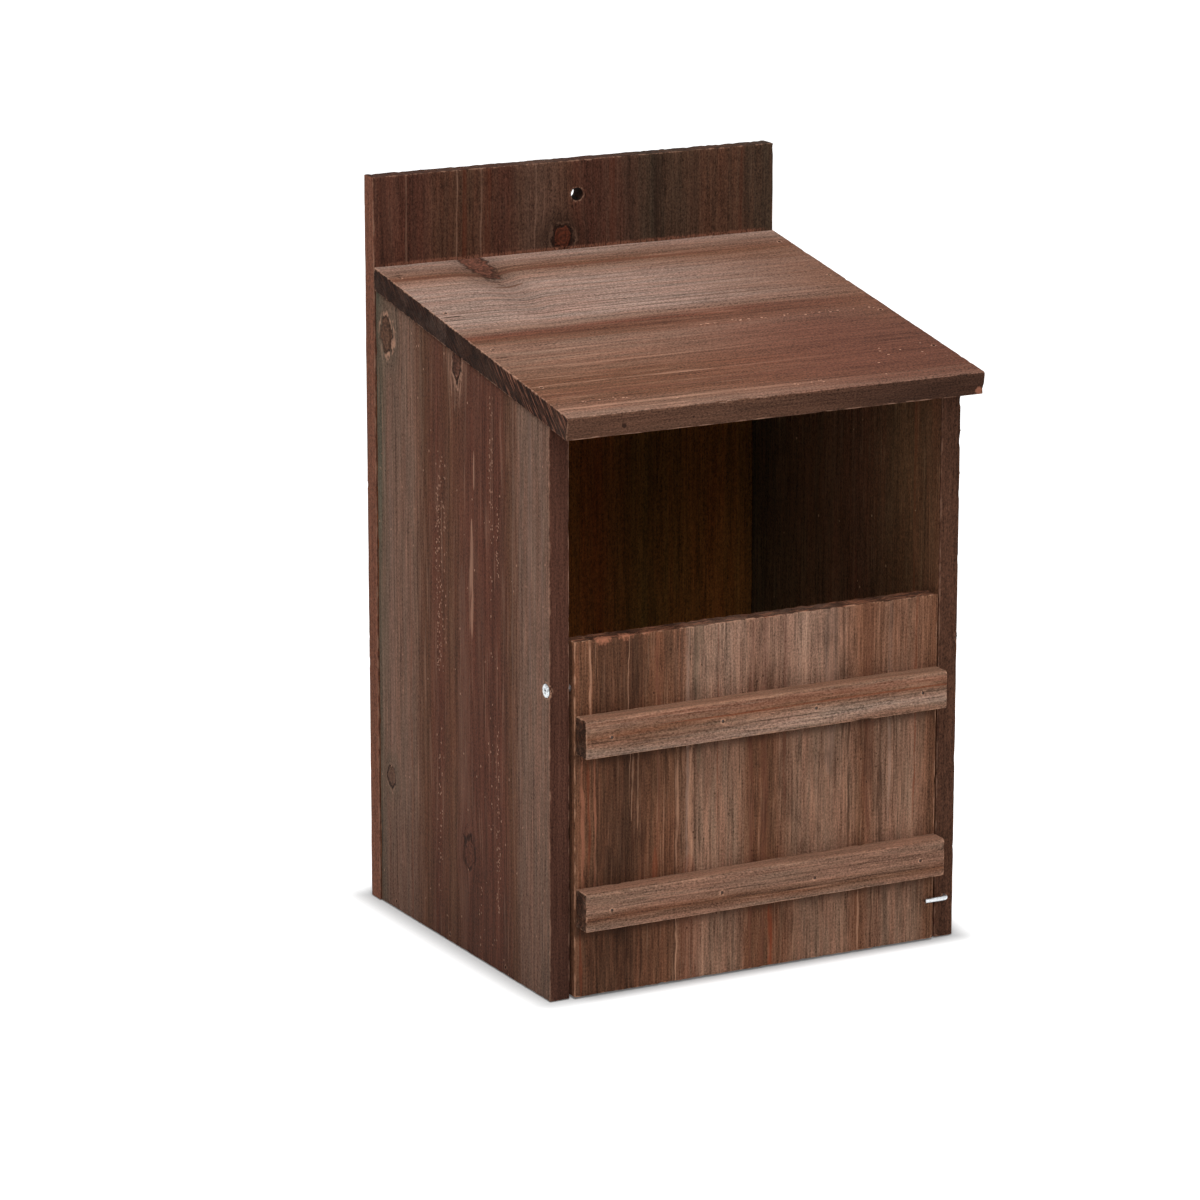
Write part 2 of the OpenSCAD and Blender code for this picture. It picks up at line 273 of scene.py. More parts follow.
def make_timber_group():
    """Stained softwood as slices through a tree: growth rings, fibres, open pores and the saw's fuzz."""
    given, made = new_group(
        "Sawn timber",
        {"Vector": ["Vector", "Heart"], "Color": ["Stain", "Dark", "Pale"],
         "Float": ["Ring width", "Waver", "Ring depth", "Dark lines", "Pale lines", "Mottle", "Coarseness", "Strands",
                   "Fibres", "Fuzz", "Seed"]},
        {"Color": ["Color"], "Float": ["Light", "Roughness", "Height"]},
    )
    tree = given["Vector"].id_data
    here = vectors("ADD", given["Vector"], scaled((370, 710, 530), given["Seed"]))
    slow = drawn_noise(here, 70, 420)
    quick = drawn_noise(here, 12, 120)
    x, y, _ = parts_of(vectors("SUBTRACT", given["Vector"], given["Heart"]))
    from_heart = maths("SQRT", plus(times(x, x), times(y, y)))
    radius = times_plus(times_plus(quick, 0.18, slow), given["Waver"], from_heart)
    ring = over(radius, given["Ring width"])
    turn = maths("FRACT", ring)
    tone = shader(tree, "TexWhiteNoise", None, plus(maths("FLOOR", ring), given["Seed"]),
                  noise_dimensions="1D").outputs[0]
    late = times(ease(turn, 0.35, 0.9), ease(turn, 1.0, 0.92))
    late = times(late, ease(tone, 0.0, 0.8, 0.25, 1.0))

    cloud = sway_of(here, 9, 260, 3, 0.6)
    fine = vectors("DIVIDE", here, shader(tree, "CombineXYZ", *[given["Coarseness"]] * 3).outputs[0])
    strand = sway_of(fine, 2.4, 100, 3, 0.65)
    fibre = drawn_noise(fine, 0.8, 22, 2.5, 0.65)
    fuzz = drawn_noise(here, 0.7, 1.2, 2, 0.7)
    drift = drawn_noise(here, 3.5, 50)
    pores = drawn_noise(vectors("ADD", fine, (3100, 1700, 900)), 1.5, 45, 2, 0.6)
    hairs = drawn_noise(vectors("ADD", fine, (1300, 4100, 2200)), 1.1, 28, 1.5)

    light = times_plus(cloud, given["Mottle"], 1.0)
    light = times_plus(minus(tone, 0.5), 0.10, light)
    light = times_plus(strand, given["Strands"], light)
    light = times_plus(minus(fibre, 0.5), given["Fibres"], light)
    light = times_plus(minus(fuzz, 0.5), given["Fuzz"], light)
    light = maths("MAXIMUM", light, 0.25)
    cast = tint(ease(drift, 0.3, 0.7), (0.95, 1.02, 1.02, 1.0), (1.05, 0.99, 0.96, 1.0))
    hue = vectors("MULTIPLY", scaled(given["Stain"], light), cast)
    hue = tint(times(late, given["Ring depth"]), hue, given["Dark"])
    dark_lines = times(ease(pores, 0.52, 0.72), given["Dark lines"])
    hue = tint(dark_lines, hue, given["Dark"])
    hue = tint(times(ease(hairs, 0.56, 0.76), given["Pale lines"]), hue, given["Pale"])
    height = times_plus(fibre, 0.9, fuzz)
    height = times_plus(late, 0.22, height)
    height = times_plus(dark_lines, -0.7, height)
    fill(made, color=hue, light=light, roughness=ease(fuzz, 0.2, 0.8, 0.68, 0.92), height=height)


def make_knot_group():
    """A knot that the grain parts round. Vector comes out bent, for whatever is drawn after it."""
    given, made = new_group(
        "Knot",
        {"Vector": ["Vector"], "Float": ["Across", "Along", "Radius", "Stretch", "Bend"]},
        {"Vector": ["Vector"], "Float": ["Core", "Outline", "Collar", "Halo", "Rings"]},
    )
    x, y, z = parts_of(given["Vector"])
    dx = minus(x, given["Across"])
    dz = over(minus(z, given["Along"]), given["Stretch"])
    away = over(maths("SQRT", plus(times(dx, dx), times(dz, dz))), given["Radius"])
    fall = times(maths("EXPONENT", times(times(away, away), -0.42)), given["Bend"])
    parted = plus(given["Across"], times(dx, minus(1.0, fall)))
    ragged = times_plus(sway_of(given["Vector"], 4, 6, 3, 0.65), 1.5, away)
    patch = ease(drawn_noise(given["Vector"], 3, 12, 3, 0.65), 0.4, 0.56)
    outline = times(ease(ragged, 0.72, 0.95), ease(ragged, 1.22, 1.0))
    collar = times(ease(ragged, 0.98, 1.08), ease(ragged, 1.5, 1.2))
    wave = maths("SINE", times(ragged, 15.0))
    fill(made, vector=shader(x.id_data, "CombineXYZ", parted, y, z).outputs[0], core=ease(ragged, 1.05, 0.85),
         outline=times(outline, ease(patch, 0.0, 1.0, 0.5, 1.0)), collar=times(collar, patch),
         halo=ease(away, 3.2, 0.8), rings=times_plus(wave, 0.5, 0.5))


def make_streak_group():
    """One line or lens of another colour along the grain, pointed at both ends and broken where Gaps is low."""
    given, made = new_group(
        "Streak", {"Float": ["Place", "Along", "Gaps", "Across", "Width", "Start", "End"]}, {"Float": ["Mask"]})
    part = part_way(given["Along"], given["Start"], given["End"])
    taper = times(maths("SQRT", times(part, minus(1.0, part))), given["Width"])
    nearness = over(distance(given["Place"], given["Across"]), maths("MAXIMUM", taper, 0.02))
    fill(made, mask=times(ease(nearness, 1.1, 0.4), given["Gaps"]))


def make_row_group():
    """A strip along the grain in which the fibres are torn."""
    given, made = new_group(
        "Torn row", {"Float": ["Place", "Along", "Across", "Width", "Start", "End"]}, {"Float": ["Mask"]})
    strip = ease(over(distance(given["Place"], given["Across"]), given["Width"]), 0.6, 0.2)
    part = part_way(given["Along"], given["Start"], given["End"])
    fill(made, mask=times(strip, ease(times(part, minus(1.0, part)), 0.0, 0.06)))


def make_speck_group():
    """Torn fibres as small dots, more of them where Density is higher."""
    given, made = new_group("Specks", {"Vector": ["Vector"], "Float": ["Density"]}, {"Float": ["Mask"]})
    tree = given["Vector"].id_data
    cells = shader(tree, "TexVoronoi", vectors("MULTIPLY", given["Vector"], (0.95, 0.95, 0.64)), None, 1.0).outputs
    chosen = shader(tree, "SeparateColor", cells["Color"]).outputs
    size = times_plus(times(chosen[1], chosen[1]), 0.34, 0.14)
    dot = maths("LESS_THAN", over(cells["Distance"], size), 1.0)
    fill(made, mask=times(dot, maths("LESS_THAN", chosen[0], given["Density"])))


def make_edge_group():
    """Where an edge is rubbed, from the distance to it that each board's mesh carries."""
    given, made = new_group(
        "Rubbed edge", {"Vector": ["Vector"], "Float": ["Distance", "Reach"]}, {"Float": ["Mask"]})
    patch = sway_of(given["Vector"], 2.2, 7, 3, 0.6)
    part = times_plus(patch, 3.2, over(given["Distance"], given["Reach"]))
    fill(made, mask=ease(part, 0.95, 0.15))


def make_tarnish_group():
    """Metal that has dulled in spots, with drawing lines along X."""
    given, made = new_group(
        "Tarnish", {"Vector": ["Vector"], "Color": ["Bright", "Dull"], "Float": ["Spots"]},
        {"Color": ["Color"], "Float": ["Roughness", "Height"]})
    spots = even_noise(given["Vector"], 0.9, 3.0, 0.6)
    lines = drawn_noise(given["Vector"], 0.2, 3)
    mask = times(ease(spots, 0.4, 0.7), given["Spots"])
    fill(made, color=tint(mask, given["Bright"], given["Dull"]), roughness=ease(spots, 0.3, 0.75, 0.26, 0.55),
         height=times_plus(lines, 0.4, spots))


# Materials


def new_material(name):
    """A material, its node tree and its shader."""
    material = bpy.data.materials.new(name)
    material.use_nodes = True
    return material, material.node_tree, material.node_tree.nodes["Principled BSDF"]


def own_place(tree, turn):
    """The place on the object in millimetres, turned to lie along its grain."""
    place = scaled(shader(tree, "TexCoord").outputs["Object"], 1 / MM)
    return shader(tree, "Mapping", place, None, turn).outputs[0]


def roughen_skin(skin, height, strength, depth):
    """Gives a material its fine relief."""
    bump = shader(skin.id_data, "Bump")
    fill(bump.inputs, strength=strength, distance=depth * MM, height=height)
    connect(bump.outputs[0], skin.inputs["Normal"])


# What the stain and the grain do on a board, unless its own recipe says otherwise. Places and widths are in
# millimetres, across (X), through (Y) and along (Z) the grain.
PLAIN = {
    # How far the bands' borders and the streaks run in and out
    "comb": 14, "jag": 0.6,
    # Growth rings, fibres and the saw's fuzz: see make_timber_group
    "waver": 8, "ring_depth": 0.3, "dark_lines": 0.4, "pale_lines": 0.15, "mottle": 0.7, "strands": 0.9,
    "fibres": 1.3, "fuzz": 2.6, "coarseness": 1.0, "bump": 0.6,
    # Across, width, start, end, colour and strength
    "streaks": (),
    # Across, width, where it is faintest, where it is strongest, colour and strength
    "washes": (),
    # Across, width, start, end and density of torn fibres, standing or gone. Dust is the specks' least density
    "specks": (), "tears": (), "dust": 0.006,
    # Along, width, start, end, colour and strength of a strip beside a joint on the front face; under the battens it is
    # painted shadow
    "joints": (), "front": 0,
    # Across, through, along, width and colour
    "bare": (),
    "knots": (), "blotches": 0.0,
    # The narrow edges' colour, its strength, and its depth from one place along the grain to another; on the roof's
    # front edge the depth is painted shade
    "narrow": ("umber", 0.4), "narrow_depth": (0, 1, 1.0, 1.0),
    # The sawn ends: how much stain they drank, and bare marks on them (width, thickness, strength and lean),
    # which fade from one place across the grain to another
    "end_depth": 0.5, "end_least": 0.62, "end_marks": (2, 2, 0.3, 0), "end_reach": (0, 1, 1.0, 1.0),
    # How far in and how strongly the arrises are rubbed, and how dark the foot is
    "reach": 0.8, "rubbed": 0.35, "damp": 0.0,
    "cast": (1, 1, 1), "tone": 1.0,
}
PLAIN_KNOT = {"stretch": 1.0, "bend": 0.85, "about": "char", "halo": 0.25, "depth": 0.85}
GRAIN_TRAITS = ("seed", "heart", "ring_width", "ring_depth", "waver", "dark_lines", "pale_lines", "mottle", "strands",
                "fibres", "fuzz", "coarseness")
CORNER_MARKS = ("edge", "rim")
FACE_MARKS = ("end", "narrow", "hollow")
BLACK = (0.0, 0.0, 0.0, 1.0)
TEAR_SHIFT = 400  # Sets the missing fibres apart from the standing ones


class Stain:
    """A board's colour and relief, laid on coat by coat as its recipe says, painted shade and light among them."""

    def __init__(self, tree, recipe):
        colours = bpy.context.scene.nest_box_wood
        self.recipe = recipe
        self.shade = {key: (*getattr(colours, key), 1.0) for key in WoodColours.__annotations__}
        across, along = recipe["grain"]
        self.place = own_place(tree, Matrix((across, along.cross(across), along)).to_euler("XYZ"))
        self.mark = {key: shader(tree, "Attribute", attribute_name=key).outputs["Fac"]
                     for key in (*CORNER_MARKS, *FACE_MARKS)}
        # The grain parts round the knots
        self.bent, self.knots = self.place, []
        for knot in ({**PLAIN_KNOT, **own} for own in recipe["knots"]):
            parts = use_group("Knot", vector=self.bent, across=knot["at"][0], along=knot["at"][1],
                              **{key: knot[key] for key in ("radius", "stretch", "bend")})
            self.knots.append((knot, parts))
            self.bent = parts["Vector"]
        self.across, self.through, self.along = parts_of(self.bent)
        swung = times_plus(sway_of(self.bent, 20, 60), 4.0, self.across)
        self.swung = times_plus(sway_of(self.bent, 4, 12), recipe["jag"], swung)

        wood = use_group("Sawn timber", vector=self.bent, stain=self.bands(), dark=self.shade["char"],
                         pale=self.shade["straw"], **{key: recipe[key] for key in GRAIN_TRAITS})
        self.hue, self.light, self.roughness, self.height = (
            wood[label] for label in ("Color", "Light", "Roughness", "Height"))
        for coat in (self.streaks, self.washes, self.draw_knots, self.torn_fibres, self.joints, self.narrow_edges,
                     self.sawn_ends, self.wear, self.weather):
            coat()

    def paint(self, mask, colour, strength=None, rise=None):
        """Lays a colour where the mask is, and lifts or sinks the wood there."""
        amount = mask if strength is None else times(mask, strength)
        self.hue = tint(amount, self.hue, self.shade[colour] if isinstance(colour, str) else colour)
        if rise is not None:
            self.height = times_plus(mask, rise, self.height)

    def lit(self, key, depth=None):
        """A colour that keeps the wood's own light and dark."""
        return scaled(self.shade[key][:3], self.light if depth is None else times(self.light, depth))

    def bands(self):
        """Bands of stain along the grain, with streaky borders."""
        sway = times_plus(sway_of(self.bent, 30, 250), 24.0, self.across)
        across = times_plus(sway_of(self.bent, 2.2, 200, 3, 0.6), self.recipe["comb"], sway)
        (low, first), *middle, (high, last) = self.recipe["bands"]
        ramp = shader(self.place.id_data, "ValToRGB", part_way(across, low, high))
        elements = ramp.color_ramp.elements
        elements[0].color, elements[1].color = self.shade[first], self.shade[last]
        for at, key in middle:
            elements.new((at - low) / (high - low)).color = self.shade[key]
        return ramp.outputs[0]

    def streaks(self):
        gaps = ease(drawn_noise(self.bent, 0.9, 20, 2, 0.6), 0.3, 0.5)
        for across, width, start, end, key, strength in self.recipe["streaks"]:
            streak = use_group("Streak", place=self.swung, along=self.along, gaps=gaps, across=across, width=width,
                               start=start, end=end)
            self.paint(streak["Mask"], key, strength)

    def washes(self):
        for across, width, start, end, key, strength in self.recipe["washes"]:
            beside = ease(distance(self.swung, across), width, 0.3 * width)
            self.paint(times(beside, ease(self.along, start, end, 0.0, strength)), self.lit(key))
        blotches = ease(drawn_noise(self.bent, 9, 24, 3, 0.65), 0.48, 0.72)
        self.paint(blotches, "char", self.recipe["blotches"])

    def draw_knots(self):
        for knot, parts in self.knots:
            heart = tint(times(parts["Rings"], 0.6), self.shade[knot["core"]], self.shade["char"])
            self.paint(parts["Halo"], self.lit(knot["about"]), knot["halo"])
            self.paint(parts["Collar"], "straw", knot["collar"])
            self.paint(parts["Core"], scaled(heart, self.light), knot["depth"])
            self.paint(parts["Outline"], "char", knot["outline"], rise=-1.2)

    def torn_fibres(self):
        """Torn fibres are pale where they stand up, and dark where they are gone."""
        for key, density, colour, rise in (("specks", self.recipe["dust"], "straw", 0.8), ("tears", 0.0, "char", -1.5)):
            for *row, amount in self.recipe[key]:
                density = times_plus(torn_row(self.swung, self.along, *row), amount, density)
            place = vectors("ADD", self.place, (0, 0 if key == "specks" else TEAR_SHIFT, 0))
            self.paint(use_group("Specks", vector=place, density=density)["Mask"], colour, 0.75, rise)

    def joints(self):
        """A strip along a joint with another board, which runs across the grain: bare pale fibres on the backboard, and
        painted shadow under the battens on the front panel.
        """
        front = self.recipe["front"]
        for *row, key, strength in self.recipe["joints"]:
            joint_tint_and_shade = times(torn_row(self.along, self.across, *row), ease(self.light, 0.75, 1.15, 0.1, strength))
            self.paint(times(joint_tint_and_shade, ease(self.through, front + 3, front + 1)), key)

    def narrow_edges(self):
        """The narrow edges took the stain in their own way, and are darkened by their depth: on the roof's front edge
        that darkening is painted shade.
        """
        key, strength = self.recipe["narrow"]
        self.paint(self.mark["narrow"], self.lit(key, ease(self.along, *self.recipe["narrow_depth"])), strength)

    def sawn_ends(self):
        """The sawn ends drank more stain, and stayed bare in small marks."""
        recipe, end = self.recipe, self.mark["end"]
        blots = ease(drawn_noise(self.place, 11, 20), 0.36, 0.6, recipe["end_least"], 1.0)
        self.paint(end, self.lit("char"), times(blots, recipe["end_depth"]))
        width, thick, strength, lean = recipe["end_marks"]
        leaning = times_plus(self.through, -lean, self.across)
        marks = shader(end.id_data, "CombineXYZ", leaning, self.through, self.along).outputs[0]
        marks = even_noise(vectors("MULTIPLY", marks, (1 / width, 1 / thick, 0.3)), 1.0, 3.0, 0.6)
        bare = times(ease(marks, 0.5, 0.68), ease(self.across, *recipe["end_reach"]))
        self.paint(times(bare, end), "clay", strength)
        self.height = times_plus(times(marks, end), 3.0, self.height)

    def wear(self):
        """Rubbed arrises, bare spots, fibres lifted round the holes, and painted shade on the walls of the holes. On
        the roof the rub is partly a painted highlight.
        """
        recipe = self.recipe
        rubbed = use_group("Rubbed edge", vector=self.place, distance=self.mark["edge"], reach=recipe["reach"])
        # On the roof the rub is partly a painted highlight on the eased front arris
        self.paint(rubbed["Mask"], "straw", recipe["rubbed"])
        lumps = drawn_noise(self.place, 1.2, 1.6)
        for *middle, width, key in recipe["bare"]:
            away = times_plus(lumps, 0.9 * width, length_of(vectors("SUBTRACT", self.place, middle)))
            self.paint(ease(away, 1.5 * width, 1.1 * width, 0.0, 0.85), key)
        self.paint(times(ease(self.mark["rim"], 1.3, 0.4), ease(lumps, 0.42, 0.6)), "straw", 0.6)
        # Painted shade: the walls of the holes are darkened almost to black
        self.paint(self.mark["hollow"], BLACK, 0.85)

    def weather(self):
        """The foot is darker, and an inner face takes a painted cast of the warm light inside the box."""
        # Darker towards the foot
        self.paint(ease(self.along, 110, -10), "char", self.recipe["damp"])
        if "inside" in self.recipe:
            # Painted light: the inner face is tinted as the warm light inside the box falls on it
            start, stop, top, low, cast = self.recipe["inside"]
            inside = times(ease(self.through, start, stop), ease(self.along, top, low))
            inside = times(inside, ease(self.mark["edge"], 0.6, 1.4, 0.0, minus(1.0, self.mark["narrow"])))
            self.hue = tint(inside, self.hue, (*cast, 1.0), "MULTIPLY")
        tone = Vector(self.recipe["cast"]) * self.recipe["tone"]
        self.hue = tint(1.0, self.hue, (*tone, 1.0), "MULTIPLY")


def torn_row(place, along, across, width, start, end):
    return use_group("Torn row", place=place, along=along, across=across, width=width, start=start, end=end)["Mask"]


def timber_material(name, recipe):
    material, tree, skin = new_material(name)
    stain_and_shade = Stain(tree, recipe)
    skin.inputs["Specular IOR Level"].default_value = 0.05
    connect(stain_and_shade.hue, skin.inputs["Base Color"])
    connect(stain_and_shade.roughness, skin.inputs["Roughness"])
    roughen_skin(skin, stain_and_shade.height, recipe["bump"], 0.9)
    return material


def metal_material(name, bright, dull, spots, turn=(0, 0, 0)):
    """Wire, screw or nail metal, its drawing lines turned to run along the piece."""
    material, tree, skin = new_material(name)
    skin.inputs["Metallic"].default_value = 1.0
    tarnish = use_group("Tarnish", vector=own_place(tree, turn), bright=(*bright, 1.0), dull=(*dull, 1.0), spots=spots)
    connect(tarnish["Color"], skin.inputs["Base Color"])
    connect(tarnish["Roughness"], skin.inputs["Roughness"])
    roughen_skin(skin, tarnish["Height"], 0.3, 0.05)
    return material


BATTEN = {
    "grain": (UP, RIGHT), "ring_width": 4, "ring_depth": 0.15, "dust": 0.0, "tone": 1.1, "dark_lines": 0.25,
    "pale_lines": 0.3, "mottle": 0.5, "comb": 3, "bump": 1.0, "end_depth": 0.9, "strands": 1.0, "fibres": 1.5,
    "fuzz": 2.7, "rubbed": 0.5,
}

